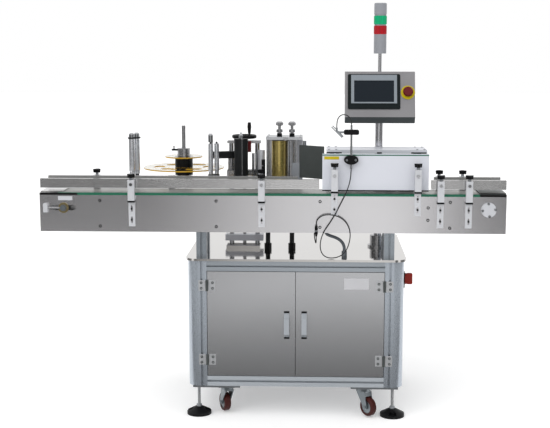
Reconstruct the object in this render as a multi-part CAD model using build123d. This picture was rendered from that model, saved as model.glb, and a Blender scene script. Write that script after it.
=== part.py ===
"""Bottle labelling machine: a conveyor on a wheeled cabinet, with a label head and a wrap station.

Millimetres. X runs along the conveyor, Y from the operator's side to the rear, Z up from the floor.
While it is built, X = 0 is the middle of the conveyor and Y = 0 its front face. At the end every
piece is moved by the same amount, so that the origin is under the middle of the machine.
"""
import math
import os

from build123d import *

# Clearances
SLIDE_GAP = 0.1       # a rod, shaft or column in its bore, per side
RUN_GAP = 0.3         # curved faces that pass each other
DOOR_GAP = 2.0        # round each door

# Cabinet frame
CABINET_LEFT = -325.0
CABINET_WIDTH = 840.0
CABINET_FRONT = -25.0
CABINET_DEPTH = 610.0
FRAME_BOTTOM = 125.0
FRAME_HEIGHT = 500.0
COLUMN = 75.0
COLUMN_RADIUS = 40.0
COLUMN_CORE = 24.0
RAIL = 40.0
SLOT_MOUTH = 8.0
SLOT_INNER = 16.0
SLOT_LIP = 4.0
SLOT_DEPTH = 11.0
PANEL_THICK = 3.0
DECK_THICK = 9.0
DECK_OVERHANG = 8.0
DECK_RADIUS = 45.0

# Doors, hinges and handles
DOOR_THICK = 20.0
DOOR_WALL = 2.0
HINGE_HEIGHT = 42.0
HINGE_LEAF = 27.0
HINGE_LEAF_THICK = 2.5
HINGE_KNUCKLE_R = 5.0
HINGE_PIN_R = 2.5
HINGE_END_INSET = 65.0
HANDLE_LENGTH = 98.0
HANDLE_WIDTH = 20.0
HANDLE_REACH = 30.0
HANDLE_GRIP = 9.0
HANDLE_EDGE_INSET = 34.0
HANDLE_CENTRE_Z = 373.0

# Floor gear
BASE_PLATE_LENGTH = 185.0
BASE_PLATE_WIDTH = 80.0
BASE_PLATE_THICK = 7.0
BASE_PLATE_SIDE_INSET = 18.0
BASE_PLATE_FRONT_INSET = 0.0
FOOT_PAD_R = 48.0
FOOT_PAD_EDGE = 12.0
FOOT_PAD_HEIGHT = 30.0
FOOT_NECK_R = 15.0
FOOT_LUG_R = 15.0
FOOT_LUG_OFFSET = 36.0
FOOT_STUD_R = 6.0
FOOT_STUD_TOP = 190.0
FOOT_HEX = 19.0
FOOT_HEX_HEIGHT = 9.0
CASTER_INSET = 150.0
CASTER_WHEEL_R = 37.5
CASTER_WHEEL_WIDTH = 28.0
CASTER_FLOOR_GAP = 5.0
CASTER_TRAIL = 27.0
CASTER_PLATE = 62.0
CASTER_PLATE_THICK = 4.0
CASTER_HEAD_R = 24.0
CASTER_HEAD_HEIGHT = 12.0
CASTER_LEG = 3.0
CASTER_AXLE_R = 5.0
CASTER_YAWS = (115.0, -50.0, -30.0, 150.0)

# Electrical gear in the cabinet
GEAR_PLATE_WIDTH = 520.0
GEAR_PLATE_HEIGHT = 330.0
GEAR_PLATE_THICK = 3.0
GEAR_RAIL_HEIGHT = 35.0
GEAR_RAIL_THICK = 7.5
ISOLATOR_SIZE = 62.0
ISOLATOR_DEPTH = 26.0
ISOLATOR_FRONT_Y = 62.0
ISOLATOR_Z = 537.0
ISOLATOR_DIAL_R = 22.0
ISOLATOR_DIAL = 8.0
ISOLATOR_GRIP = 24.0
ISOLATOR_GRIP_HALF = 6.0
ISOLATOR_SHAFT_R = 4.0
ISOLATOR_WALL = 5.0
GEAR_RAIL_INSET = 20.0
GEAR_SPACE = 12.0
GEAR_DEPTH = 70.0
GEAR_DEPTH_STEP = 15.0
GEAR_ROWS = ((0.74, 100.0, (45.0, 60.0, 90.0, 45.0, 60.0)), (0.3, 120.0, (95.0, 75.0, 60.0, 120.0)))

# Conveyor
CONVEYOR_LENGTH = 1800.0
CONVEYOR_WIDTH = 150.0
CONVEYOR_BOTTOM = 733.0
PLATE_HEIGHT = 143.0
PLATE_THICK = 3.0
PLATE_FLANGE = 30.0
POST = 40.0
POST_FRONT_INSET = 5.0
POST_XS = (-272.0, 456.0)
STRIP_HEIGHT = 8.0
STRIP_WIDTH = 20.0
STRIP_LEFT_INSET = 70.0
STRIP_RIGHT_INSET = 102.0
BELT_THICK = 4.0
BELT_SIDE_GAP = 1.0
SHAFT_Z = 826.0
DRIVE_INSET = 67.0
IDLER_INSET = 93.0
SHAFT_R = 10.0
BED_WALL = 3.0
BED_FLANGE = 11.0
BED_END_GAP = 70.0
TIE_R = 8.0
TIE_LOW, TIE_HIGH = 755.0, 855.0
TIE_LEFT_INSET = 235.0
TIE_RIGHT_INSET = 214.0
TIE_MIDDLES = (-213.0, 188.0)
GUARD_TIE_INSET = 298.0
GUARD_TIE_LOW, GUARD_TIE_HIGH = 785.0, 833.0
FLANGE_R = 28.5
FLANGE_THICK = 8.0
FLANGE_FACE = 3.0
WASHER_R = 20.5
WASHER_THICK = 4.0
NUT_AF = 24.0
NUT_THICK = 8.0
TAKE_UP_SLOT = 105.0
TAKE_UP_INSET = 35.0
TAKE_UP_BLOCK = 17.0
TAKE_UP_BLOCK_HEIGHT = 33.0
TAKE_UP_BLOCK_THICK = 16.0
TAKE_UP_SCREW_R = 4.0
END_PLATE_THICK = 4.0
END_PLATE_LEFT = 85.0
END_PLATE_RIGHT = 100.0
GEARBOX = 76.0
GEARBOX_DEPTH = 60.0
MOTOR_R = 35.0
MOTOR_LENGTH = 130.0

# Guide rails and their brackets
RAIL_Z = 902.0
RAIL_HEIGHT = 36.0
RAIL_WALL = 2.0
RAIL_DEPTH = 15.0
RAIL_INSET = 15.0
RAIL_INSERT = 15.0
ROD_R = 6.0
ROD_END = 4.0
BRACKET_WIDTH = 25.0
BRACKET_BAR = 6.0
BRACKET_BLOCK = 15.0
BRACKET_BOTTOM = 755.0
BRACKET_STEP = 857.0
SPACER_HEIGHT = 7.0
BRACKET_SLOT_WIDTH = 7.0
BRACKET_SLOT_LENGTH = 26.0
KNOB_R = 16.0
KNOB_HEIGHT = 14.0
KNOB_STEM_R = 6.0
KNOB_STEM = 9.0
FRONT_LEFT_RAIL_END = 185.0
FRONT_RIGHT_RAIL_LENGTH = 286.0
REAR_LEFT_RAIL_END = 100.0
REAR_RIGHT_RAIL_LENGTH = 259.0
REAR_RAIL_INSET = 7.0
PLAIN_BRACKET = -405.0

# Wrap station
BOARD_LEFT = 196.0
BOARD_WIDTH = 408.0
BOARD_BOTTOM = 894.0
BOARD_HEIGHT = 141.0
BOARD_FRONT = 17.0
BOARD_THICK = 12.0
PAD_THICK = 8.0
PAD_RISE = 2.0
BOARD_RODS = (243.0, 561.0)
BOARD_ROD_Z = 957.0
BOARD_BRACKET_BOTTOM = 801.0
BOARD_BRACKET_STEP = 897.0
BOARD_BRACKET_TOP = 981.0
WRAP_TOP_Z = 1032.0
WRAP_TOP_THICK = 14.0
WRAP_BASE_Z = 896.0
WRAP_BASE_THICK = 8.0
WRAP_LEFT = 212.0
WRAP_RIGHT = 604.0
WRAP_FRONT = 95.0
WRAP_REAR = 240.0
WRAP_BELT_R = 38.0
WRAP_BELT_THICK = 3.0
WRAP_ROLLER_INSET = 6.0
WRAP_AXIS_Y = 152.0
WRAP_BELT_GAP = 10.0
WRAP_SHAFT_R = 6.0
WRAP_POST_X = 466.0
WRAP_POST_ROUND = 4.0
WRAP_SPACER_R = 10.0
WRAP_SPACER_INSET = 22.0
WRAP_MOTOR_R = 30.0
WRAP_MOTOR_LENGTH = 105.0
WRAP_MOTOR_INSET = 70.0

# Sensor on the wrap board
STAND_X = 306.0
STAND_Y = 4.0
STAND_TUBE_R = 4.0
STAND_BOTTOM = 980.0
STAND_TOP = 1149.0
CLAMP_Z = 1016.0
CLAMP_WIDTH = 55.0
CLAMP_HEIGHT = 35.0
CROSS_Z = 1122.0
CROSS_HALF = 29.0
CROSS_HEIGHT = 19.0
CROSS_DEPTH = 20.0
LEAD_R = 2.0

# Operator panel and signal tower
POLE_INSET = 91.0
POLE_Y = 270.0
POLE_R = 17.0
SOCKET_R = 31.0
SOCKET_HEIGHT = 48.0
PANEL_WIDTH = 278.0
PANEL_BOTTOM = 1142.0
PANEL_TOP = 1345.0
PANEL_FRONT = 190.0
PANEL_TILT = 18.0
PANEL_CHIN = 26.0
PANEL_DEPTH = 110.0
BEZEL_WIDTH = 208.0
BEZEL_HEIGHT = 143.0
BEZEL_THICK = 5.0
BEZEL_LEFT_INSET = 11.0
STOP_DISC_R = 28.0
STOP_DISC_THICK = 3.0
STOP_HEAD_R = 20.0
STOP_HEAD = 15.0
STOP_STEM_R = 11.0
STOP_TRAVEL = 4.0
STOP_INSET = 29.0
TOWER_R = 25.0
TOWER_POLE_R = 7.5
TOWER_POLE = 72.0
TOWER_BASE = 76.0
TOWER_LENS = 34.0
TOWER_RING = 5.0
TOWER_CAP = 45.0

# Label head and its height column
SCREW_X = -122.0
SCREW_Y = 285.0
SCREW_R = 7.0
COLUMN_SPREAD = 53.0
COLUMN_R = 10.0
PEDESTAL_BASE = 12.0
PEDESTAL_TIE_Z = 655.0
PEDESTAL_TIE = 25.0
PEDESTAL_TOP_Z = 1056.0
PEDESTAL_TOP = 10.0
PEDESTAL_MARGIN = 8.0
PEDESTAL_INSET = 10.0
INDICATOR_LEFT = 10.0
INDICATOR_WIDTH = 20.0
INDICATOR_DEPTH = 20.0
INDICATOR_DROP = 34.0
CARRIAGE_Z = 890.0
CARRIAGE_HEIGHT = 55.0
CARRIAGE_HALF = 70.0
CARRIAGE_FRONT = 262.0
CARRIAGE_REAR = 310.0
HEAD_PLATE = 14.0
HANDWHEEL_R = 50.0
HANDWHEEL_Z = 1082.0
HANDWHEEL_RIM = 7.0
HANDWHEEL_HUB = 10.0
GRIP_TURN = -58.0
GRIP_R = 8.0
GRIP_HEIGHT = 45.0
ARM_HEIGHT = 18.0
ARM_WIDTH = 36.0
REEL_X = -384.0
REEL_Y = 395.0
REEL_HUB_R = 37.0
REEL_HUB_BOTTOM = 912.0
REEL_HUB_TOP = 986.0
REEL_DISC_R = 168.0
REEL_DISC_Z = 940.0
REEL_DISC_THICK = 5.0
REEL_TOP_DISC_R = 78.0
REEL_WINDOW = (70.0, 44.0)
REEL_COLLAR_R = 27.0
REEL_COLLAR = 32.0
REEL_LEVER = 24.0
REEL_LEVER_R = 4.0
REEL_SHAFT_R = 8.0
REEL_SHAFT_TOP = 1118.0
GUIDE_ROLLER_R = 13.0
GUIDE_PLACES = ((-584.5, 284.5), (-568.0, 309.0))
GUIDE_BOTTOM = 925.0
GUIDE_TOP = 1071.0
GUIDE_TIE_R = 16.0
GUIDE_TIE = 5.0
GUIDE_CAP = 18.0
ROLLER_PIN_R = 4.0
DANCER_ROLLER_R = 10.0
DANCER_PLACES = ((-255.0, 229.0), (-231.5, 240.5))
DANCER_EYE_R = 16.0
DANCER_SPINE_R = 5.5
DANCER_SPINE_BACK = 23.0
DANCER_LOW = 926.0
DANCER_HIGH = 1064.0
DANCER_LUG = 6.0
DANCER_CAP = 34.0
DANCER_ARM_Z = 994.0
DANCER_ARM = 28.0
SPOOL_X = -130.0
SPOOL_Y = 203.0
SPOOL_R = 28.0
SPOOL_DISC_R = 56.0
SPOOL_DISC_THICK = 4.0
SPOOL_BOTTOM = 923.0
SPOOL_TOP = 1080.0
SPOOL_TIP_R = 8.0
SPOOL_TIP = 26.0
SPOOL_HEAD = 20.0
CLIP_R = 1.5
CLIP_TURN = -78.0
SPINDLE_R = 6.0
HEAD_LEFT = -30.0
HEAD_RIGHT = 116.0
HEAD_FRONT = 192.0
HEAD_TOP_Z = 1076.0
HEAD_TOP = 11.0
TRACTION_X = 21.0
TRACTION_Y = 238.0
TRACTION_R = 29.0
PRESS_R = 10.0
JOURNAL_R = 6.0
BEARING_WALL = 3.0
DRUM_LOW_GAP = 20.0
DRUM_HIGH_GAP = 6.0
HEAD_WALL = 10.0
HEAD_POST_R = 6.0
HEAD_ROD_R = 7.0
PRESSURE_XS = (24.0, 74.0)
PRESSURE_INSET = 28.0
FRONT_SCREW_X = 49.0
FRONT_SCREW = 14.0
PILLAR_X = -50.0
PILLAR_R = 14.0
PILLAR_HEIGHT = 127.0
PAIR_XS = (-84.0, -70.0)
PAIR_Y = 254.0
PAIR_R = 5.5
PAIR_HEIGHT = 113.0
EYE_X = -40.0
EYE_WIDTH = 14.0
EYE_DEPTH = 24.0
EYE_FOOT = 26.0
EYE_FOOT_R = 4.0
EYE_HEIGHT = 66.0
EYE_SLIT = 4.0
PEEL_FOOT_LEFT = 76.0
PEEL_FOOT_DEPTH = 14.0
PEEL_FOOT_HEIGHT = 80.0
PEEL_KNOB_R = 7.0
PEEL_KNOB = 18.0
PEEL_START = (106.0, 196.0)
PEEL_TIP = (203.0, 130.0)
PEEL_THICK = 8.0
PEEL_BOTTOM = 926.0
PEEL_HEIGHT = 130.0

# Cable hoses that stand on the deck
HOSE_R = 9.5
HOSE_GLAND_R = 14.0
HOSE_GLAND = 22.0
GREY_HOSE_R = 6.0

# Places that follow from the sizes above
CABINET_RIGHT = CABINET_LEFT + CABINET_WIDTH
CABINET_REAR = CABINET_FRONT + CABINET_DEPTH
CABINET_MID_X = CABINET_LEFT + CABINET_WIDTH / 2
CABINET_MID_Y = CABINET_FRONT + CABINET_DEPTH / 2
FRAME_TOP = FRAME_BOTTOM + FRAME_HEIGHT
DECK_TOP = FRAME_TOP + DECK_THICK
BASE_PLATE_Z = FRAME_BOTTOM - BASE_PLATE_THICK
HALF = CONVEYOR_LENGTH / 2
DRIVE_X = HALF - DRIVE_INSET
IDLER_X = -HALF + IDLER_INSET
TAKE_UP_LEFT = -HALF + TAKE_UP_INSET
TIE_PAIRS = tuple((x, TIE_LOW, TIE_HIGH) for x in (-HALF + TIE_LEFT_INSET, *TIE_MIDDLES, HALF - TIE_RIGHT_INSET))
TIE_PAIRS += ((HALF - GUARD_TIE_INSET, GUARD_TIE_LOW, GUARD_TIE_HIGH),)
FRONT_LEFT_RAIL = (-HALF, FRONT_LEFT_RAIL_END)
FRONT_RIGHT_RAIL = (HALF - FRONT_RIGHT_RAIL_LENGTH, HALF)
REAR_LEFT_RAIL = (-HALF + REAR_RAIL_INSET, REAR_LEFT_RAIL_END)
REAR_RIGHT_RAIL = (HALF - REAR_RAIL_INSET - REAR_RIGHT_RAIL_LENGTH, HALF - REAR_RAIL_INSET)
FRONT_LEFT_RODS = (-HALF + 360, -37.0)
FRONT_RIGHT_RODS = (HALF - 252, HALF - 144)
REAR_LEFT_RODS = (-HALF + 194, PLAIN_BRACKET, -46.0)
REAR_RIGHT_RODS = (HALF - 241, HALF - 149)
POLE_X = CABINET_RIGHT - POLE_INSET
DANCER_PIVOT = (SCREW_X - COLUMN_SPREAD, SCREW_Y)
PLATE_TOP = CONVEYOR_BOTTOM + PLATE_HEIGHT
BELT_TOP = PLATE_TOP + STRIP_HEIGHT
BELT_R = BELT_TOP - SHAFT_Z
ROLLER_R = BELT_R - BELT_THICK - RUN_GAP
BELT_FRONT = STRIP_WIDTH + BELT_SIDE_GAP
BELT_REAR = CONVEYOR_WIDTH - BELT_FRONT
RAIL_TOP = RAIL_Z + RAIL_HEIGHT
ROD_Z = RAIL_Z + RAIL_HEIGHT / 2
BRACKET_FACE = BRACKET_BAR + BRACKET_BLOCK
BRACKET_TOP = RAIL_TOP - 1
HEAD_BOTTOM_TOP = CARRIAGE_Z + HEAD_PLATE
PRESS_X = TRACTION_X + TRACTION_R + PRESS_R + RUN_GAP
FOOT_PLACE = COLUMN / 2
FOOT_STUD_BASE = FOOT_PAD_HEIGHT + FOOT_HEX_HEIGHT


# Shared forms
def block(x0, x1, y0, y1, z0, z1):
    """A box between two corners."""
    middle = Pos((x0 + x1) / 2, (y0 + y1) / 2, (z0 + z1) / 2)
    return middle * Box(abs(x1 - x0), abs(y1 - y0), abs(z1 - z0))


def rod_x(y, z, x0, x1, radius):
    """A round bar along X."""
    return Pos((x0 + x1) / 2, y, z) * Rot(0, 90, 0) * Cylinder(radius, abs(x1 - x0))


def rod_y(x, z, y0, y1, radius):
    """A round bar along Y."""
    return Pos(x, (y0 + y1) / 2, z) * Rot(90, 0, 0) * Cylinder(radius, abs(y1 - y0))


def rod_z(x, y, z0, z1, radius):
    """A round bar along Z."""
    return Pos(x, y, (z0 + z1) / 2) * Cylinder(radius, abs(z1 - z0))


def hexagon_z(x, y, z0, z1, across_flats):
    """A hexagon bar along Z."""
    return Pos(x, y, z0) * extrude(RegularPolygon(across_flats / math.sqrt(3), 6), z1 - z0)


def hexagon_y(x, z, y0, y1, across_flats):
    """A hexagon bar along Y."""
    bar = extrude(RegularPolygon(across_flats / math.sqrt(3), 6), abs(y1 - y0) / 2, both=True)
    return Pos(x, (y0 + y1) / 2, z) * Rot(90, 0, 0) * bar


def turned(points):
    """A turned piece about Z, from its half section as (radius, height) points."""
    section = make_face(Polyline([(r, 0, z) for r, z in points], close=True))
    return revolve(section, Axis.Z)


def group(*pieces):
    """Separate solids in one sub-part."""
    solids = []
    for piece in pieces:
        solids.extend(piece.solids())
    return Compound(solids)


def mirror_x(piece, middle):
    """The mirror image across the plane X = middle."""
    return mirror(piece, about=Plane.YZ.offset(middle))


def mirror_y(piece, middle):
    """The mirror image across the plane Y = middle."""
    return mirror(piece, about=Plane.XZ.offset(-middle))


def four_corners(piece):
    """A cabinet corner piece and its three mirror images."""
    right = mirror_x(piece, CABINET_MID_X)
    return [piece, right, mirror_y(piece, CABINET_MID_Y), mirror_y(right, CABINET_MID_Y)]


def tube_path(points, share=0.45):
    """Straight runs joined by tangent arcs, each as large as its two runs allow."""
    corners = [Vector(*p) for p in points]
    radii = []
    for before, here, after in zip(corners, corners[1:], corners[2:]):
        turn = (here - before).get_angle(after - here)
        shorter = min((here - before).length, (after - here).length)
        radii.append(share * shorter / math.tan(math.radians(turn) / 2))
    return FilletPolyline(*corners, radius=radii), radii


def tube(points, radius):
    """A round tube along a route."""
    path, _ = tube_path(points)
    return sweep(Plane(path @ 0, z_dir=path % 0) * Circle(radius), path)


# Cabinet
def slot_section():
    """A T-slot cut into +Y from the line Y = 0."""
    mouth = Pos(0, SLOT_LIP / 2) * Rectangle(SLOT_MOUTH, SLOT_LIP)
    inner = Pos(0, (SLOT_LIP + SLOT_DEPTH) / 2) * Rectangle(SLOT_INNER, SLOT_DEPTH - SLOT_LIP)
    return mouth + inner


def corner_column():
    """The front left column: a round outer corner, a T-slot in each outer face and a round core."""
    section = Pos(COLUMN / 2, COLUMN / 2) * Rectangle(COLUMN, COLUMN)
    outer_corner = section.vertices().sort_by(Axis.X)[:2].sort_by(Axis.Y)[:1]
    section = fillet(outer_corner, COLUMN_RADIUS)
    slot_place = COLUMN - RAIL / 2
    section -= Pos(slot_place, 0) * slot_section()
    section -= Pos(0, slot_place) * Rot(0, 0, -90) * slot_section()
    section -= Pos(COLUMN / 2, COLUMN / 2) * Circle(COLUMN_CORE / 2)
    return Pos(CABINET_LEFT, CABINET_FRONT, FRAME_BOTTOM) * extrude(section, FRAME_HEIGHT)


def frame_rail(length):
    """A rail along +X from the origin, with its T-slot towards -Y."""
    section = Rectangle(RAIL, RAIL) - Pos(0, -RAIL / 2) * slot_section()
    return Rot(0, 90, 0) * extrude(section, length)


def cabinet_frame():
    """Four columns and the eight rails between them."""
    front = frame_rail(CABINET_WIDTH - 2 * COLUMN)
    side = Rot(0, 0, -90) * frame_rail(CABINET_DEPTH - 2 * COLUMN)
    pieces = four_corners(corner_column())
    for z in (FRAME_BOTTOM + RAIL / 2, FRAME_TOP - RAIL / 2):
        front_rail = Pos(CABINET_LEFT + COLUMN, CABINET_FRONT + RAIL / 2, z) * front
        left_rail = Pos(CABINET_LEFT + RAIL / 2, CABINET_REAR - COLUMN, z) * side
        pieces += [front_rail, mirror_y(front_rail, CABINET_MID_Y)]
        pieces += [left_rail, mirror_x(left_rail, CABINET_MID_X)]
    return group(*pieces)


def cabinet_panels():
    """Side panels, rear panel and floor sheet."""
    low, high = FRAME_BOTTOM + RAIL, FRAME_TOP - RAIL
    near, far = CABINET_FRONT + COLUMN, CABINET_REAR - COLUMN
    inset = (RAIL - PANEL_THICK) / 2
    left_x = CABINET_LEFT + inset
    left = block(left_x, left_x + PANEL_THICK, near, far, low, high)
    rear_y = CABINET_REAR - inset
    rear = block(CABINET_LEFT + COLUMN, CABINET_RIGHT - COLUMN, rear_y - PANEL_THICK, rear_y, low, high)
    floor_sheet = block(CABINET_LEFT + COLUMN, CABINET_RIGHT - COLUMN, CABINET_FRONT + RAIL,
                        CABINET_REAR - RAIL, FRAME_BOTTOM, FRAME_BOTTOM + PANEL_THICK)
    return group(left, mirror_x(left, CABINET_MID_X), rear, floor_sheet)


def deck_plate():
    """The deck, with round corners."""
    width = CABINET_WIDTH + 2 * DECK_OVERHANG
    depth = CABINET_DEPTH + 2 * DECK_OVERHANG
    sheet = extrude(RectangleRounded(width, depth, DECK_RADIUS), DECK_THICK)
    return Pos(CABINET_MID_X, CABINET_MID_Y, FRAME_TOP) * sheet


HINGE_X = CABINET_LEFT + COLUMN + DOOR_GAP / 2
HINGE_Y = CABINET_FRONT - HINGE_KNUCKLE_R - 1
DOOR_LOW = FRAME_BOTTOM + RAIL + DOOR_GAP
DOOR_HIGH = FRAME_TOP - RAIL - DOOR_GAP
HINGE_ZS = (DOOR_LOW + HINGE_END_INSET, DOOR_HIGH - HINGE_END_INSET + HINGE_KNUCKLE_R * 2)


def hinge_leaf(middle_z, side):
    """One leaf of a left hinge with its half of the knuckle: side -1 is on the column, +1 on the door."""
    low = middle_z - HINGE_HEIGHT / 2
    root = HINGE_X + side * (HINGE_KNUCKLE_R + 1)
    plate = block(root, root + side * HINGE_LEAF, CABINET_FRONT - HINGE_LEAF_THICK, CABINET_FRONT,
                  low, low + HINGE_HEIGHT)
    half_low = low if side < 0 else middle_z + RUN_GAP
    half_high = middle_z if side < 0 else low + HINGE_HEIGHT
    web = block(HINGE_X, root, HINGE_Y, CABINET_FRONT, half_low, half_high)
    knuckle = rod_z(HINGE_X, HINGE_Y, half_low, half_high, HINGE_KNUCKLE_R)
    leaf = plate + web + knuckle
    return leaf - rod_z(HINGE_X, HINGE_Y, half_low, half_high, HINGE_PIN_R + SLIDE_GAP)


def frame_fittings():
    """Base plates and caster top plates under the frame, fixed hinge leaves and hinge pins."""
    foot_x, foot_y = CABINET_LEFT + FOOT_PLACE, CABINET_FRONT + FOOT_PLACE
    left, front = CABINET_LEFT + BASE_PLATE_SIDE_INSET, CABINET_FRONT + BASE_PLATE_FRONT_INSET
    plate = block(left, left + BASE_PLATE_LENGTH, front, front + BASE_PLATE_WIDTH, BASE_PLATE_Z, FRAME_BOTTOM)
    plate -= rod_z(foot_x, foot_y, BASE_PLATE_Z, FRAME_BOTTOM, FOOT_STUD_R + SLIDE_GAP)
    caster_x, caster_y = CABINET_LEFT + CASTER_INSET, front + BASE_PLATE_WIDTH / 2
    half = CASTER_PLATE / 2
    caster_plate = block(caster_x - half, caster_x + half, caster_y - half, caster_y + half,
                         BASE_PLATE_Z - CASTER_PLATE_THICK, BASE_PLATE_Z)
    pieces = four_corners(plate) + four_corners(caster_plate)
    for z in HINGE_ZS:
        leaf = hinge_leaf(z, -1)
        pin = rod_z(HINGE_X, HINGE_Y, z - HINGE_HEIGHT / 2, z + HINGE_HEIGHT / 2, HINGE_PIN_R)
        pieces += [leaf, pin, mirror_x(leaf, CABINET_MID_X), mirror_x(pin, CABINET_MID_X)]
    return group(*pieces)


def bow_handle(x):
    """A bow handle on a door's front face: two feet and a flat-topped grip, with an open finger gap."""
    low, high = HANDLE_CENTRE_Z - HANDLE_LENGTH / 2, HANDLE_CENTRE_Z + HANDLE_LENGTH / 2
    face, tip = CABINET_FRONT, CABINET_FRONT - HANDLE_REACH
    slope = HANDLE_REACH * 0.6
    outer = Polyline((face, low), (tip, low + slope), (tip, high - slope), (face, high), close=True)
    inner_tip = tip + HANDLE_GRIP
    foot = HANDLE_GRIP * 1.6
    inner = Polyline((face, low + foot), (inner_tip, low + slope + foot * 0.5),
                     (inner_tip, high - slope - foot * 0.5), (face, high - foot), close=True)
    section = make_face(outer) - make_face(inner)
    bar = extrude(Plane.YZ * section, HANDLE_WIDTH / 2, both=True)
    return Pos(x, 0, 0) * bar


def left_door():
    """The left door: a folded tray, its hinge leaves and its handle."""
    left, right = CABINET_LEFT + COLUMN + DOOR_GAP, CABINET_MID_X - DOOR_GAP / 2
    front, rear = CABINET_FRONT, CABINET_FRONT + DOOR_THICK
    tray = block(left, right, front, rear, DOOR_LOW, DOOR_HIGH)
    tray -= block(left + DOOR_WALL, right - DOOR_WALL, front + DOOR_WALL, rear,
                  DOOR_LOW + DOOR_WALL, DOOR_HIGH - DOOR_WALL)
    leaves = [hinge_leaf(z, 1) for z in HINGE_ZS]
    return group(tray, *leaves, bow_handle(CABINET_MID_X - HANDLE_EDGE_INSET))


# Floor gear
def levelling_foot(lug_turn):
    """A screw foot: a round pad with two bolt recesses, a hexagon and a threaded stud."""
    pad = turned([(0, 0), (FOOT_PAD_R, 0), (FOOT_PAD_R, FOOT_PAD_EDGE), (FOOT_NECK_R, FOOT_PAD_HEIGHT),
                  (0, FOOT_PAD_HEIGHT)])
    for turn in (lug_turn, lug_turn + 180):
        place = Rot(0, 0, turn) * Pos(FOOT_LUG_OFFSET, 0, 0)
        pad -= place * rod_z(0, 0, FOOT_PAD_EDGE - 2, FOOT_PAD_HEIGHT, FOOT_LUG_R)
    nut = hexagon_z(0, 0, FOOT_PAD_HEIGHT, FOOT_STUD_BASE, FOOT_HEX)
    stud = rod_z(0, 0, FOOT_STUD_BASE, FOOT_STUD_TOP, FOOT_STUD_R)
    return group(pad, nut + stud)


def caster_fork():
    """A swivel fork about its own axis at the origin: head, two legs and the axle."""
    top = BASE_PLATE_Z - CASTER_PLATE_THICK
    axle_z = CASTER_WHEEL_R + CASTER_FLOOR_GAP
    head = rod_z(0, 0, top - CASTER_HEAD_HEIGHT, top - RUN_GAP, CASTER_HEAD_R)
    crown = Pos(0, 0, top - CASTER_HEAD_HEIGHT)
    outline = make_hull((Pos(CASTER_TRAIL, axle_z) * Circle(CASTER_AXLE_R * 2)).edges()
                        + (Pos(0, top - CASTER_HEAD_HEIGHT - 2) * Rectangle(CASTER_HEAD_R * 2, 4)).edges())
    inner = CASTER_WHEEL_WIDTH / 2 + 1.5
    leg = extrude(Plane.XZ * outline, CASTER_LEG)
    legs = Pos(0, -inner, 0) * leg + Pos(0, inner + CASTER_LEG, 0) * leg
    bridge = crown * Pos(0, 0, -2) * Box(CASTER_HEAD_R * 2, 2 * (inner + CASTER_LEG), 4)
    axle = rod_y(CASTER_TRAIL, axle_z, -inner - CASTER_LEG * 2, inner + CASTER_LEG * 2, CASTER_AXLE_R)
    return head + bridge + legs + axle


def caster_wheel():
    """A wheel on its axle along Y: a crowned tread and a recessed hub."""
    half = CASTER_WHEEL_WIDTH / 2
    bore = CASTER_AXLE_R + SLIDE_GAP
    hub, rim, shoulder = CASTER_AXLE_R * 2.2, CASTER_WHEEL_R * 0.68, CASTER_WHEEL_R - 4
    side = [(bore, half), (hub, half), (hub, half - 3), (rim, half - 3), (rim, half - 1), (shoulder, half - 1),
            (CASTER_WHEEL_R, half - 6)]
    wheel = turned([(radius, -along) for radius, along in side] + side[::-1])
    return Pos(CASTER_TRAIL, 0, CASTER_WHEEL_R + CASTER_FLOOR_GAP) * Rot(90, 0, 0) * wheel


def corner_places(inset_x, inset_y):
    """The four places at the same inset from the cabinet's corners: front left, front right, rear ones."""
    xs = (CABINET_LEFT + inset_x, CABINET_RIGHT - inset_x)
    ys = (CABINET_FRONT + inset_y, CABINET_REAR - inset_y)
    return [(x, y) for y in ys for x in xs]


FOOT_PLACES = corner_places(FOOT_PLACE, FOOT_PLACE)
CASTER_PLACES = corner_places(CASTER_INSET, BASE_PLATE_FRONT_INSET + BASE_PLATE_WIDTH / 2)


# Electrical gear
GEAR_FACE_Y = CABINET_REAR - (RAIL + PANEL_THICK) / 2 - GEAR_PLATE_THICK
ISOLATOR_FACE_X = CABINET_RIGHT - (RAIL - PANEL_THICK) / 2


def control_gear():
    """The gear plate on the rear panel with its rails and devices, and the isolator's body on the right panel."""
    left = CABINET_MID_X - GEAR_PLATE_WIDTH / 2
    low = (FRAME_BOTTOM + FRAME_TOP - GEAR_PLATE_HEIGHT) / 2
    plate = block(left, left + GEAR_PLATE_WIDTH, GEAR_FACE_Y, GEAR_FACE_Y + GEAR_PLATE_THICK,
                  low, low + GEAR_PLATE_HEIGHT)
    pieces = [plate]
    rail_face = GEAR_FACE_Y - GEAR_RAIL_THICK
    for share, tall, widths in GEAR_ROWS:
        z = low + GEAR_PLATE_HEIGHT * share
        pieces.append(block(left + GEAR_RAIL_INSET, left + GEAR_PLATE_WIDTH - GEAR_RAIL_INSET, rail_face,
                            GEAR_FACE_Y, z - GEAR_RAIL_HEIGHT / 2, z + GEAR_RAIL_HEIGHT / 2))
        x = left + GEAR_RAIL_INSET * 2
        for number, width in enumerate(widths):
            depth = GEAR_DEPTH + GEAR_DEPTH_STEP * (number % 3)
            pieces.append(block(x, x + width, rail_face - depth, rail_face, z - tall / 2, z + tall / 2))
            x += width + GEAR_SPACE
    half = ISOLATOR_SIZE / 2
    face, middle = ISOLATOR_FACE_X + ISOLATOR_DEPTH, ISOLATOR_FRONT_Y + half
    body = block(ISOLATOR_FACE_X, face, middle - half, middle + half, ISOLATOR_Z - half, ISOLATOR_Z + half)
    socket = rod_x(middle, ISOLATOR_Z, ISOLATOR_FACE_X + ISOLATOR_WALL, face, ISOLATOR_SHAFT_R + SLIDE_GAP)
    pieces.append(body - socket)
    return group(*pieces)


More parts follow.
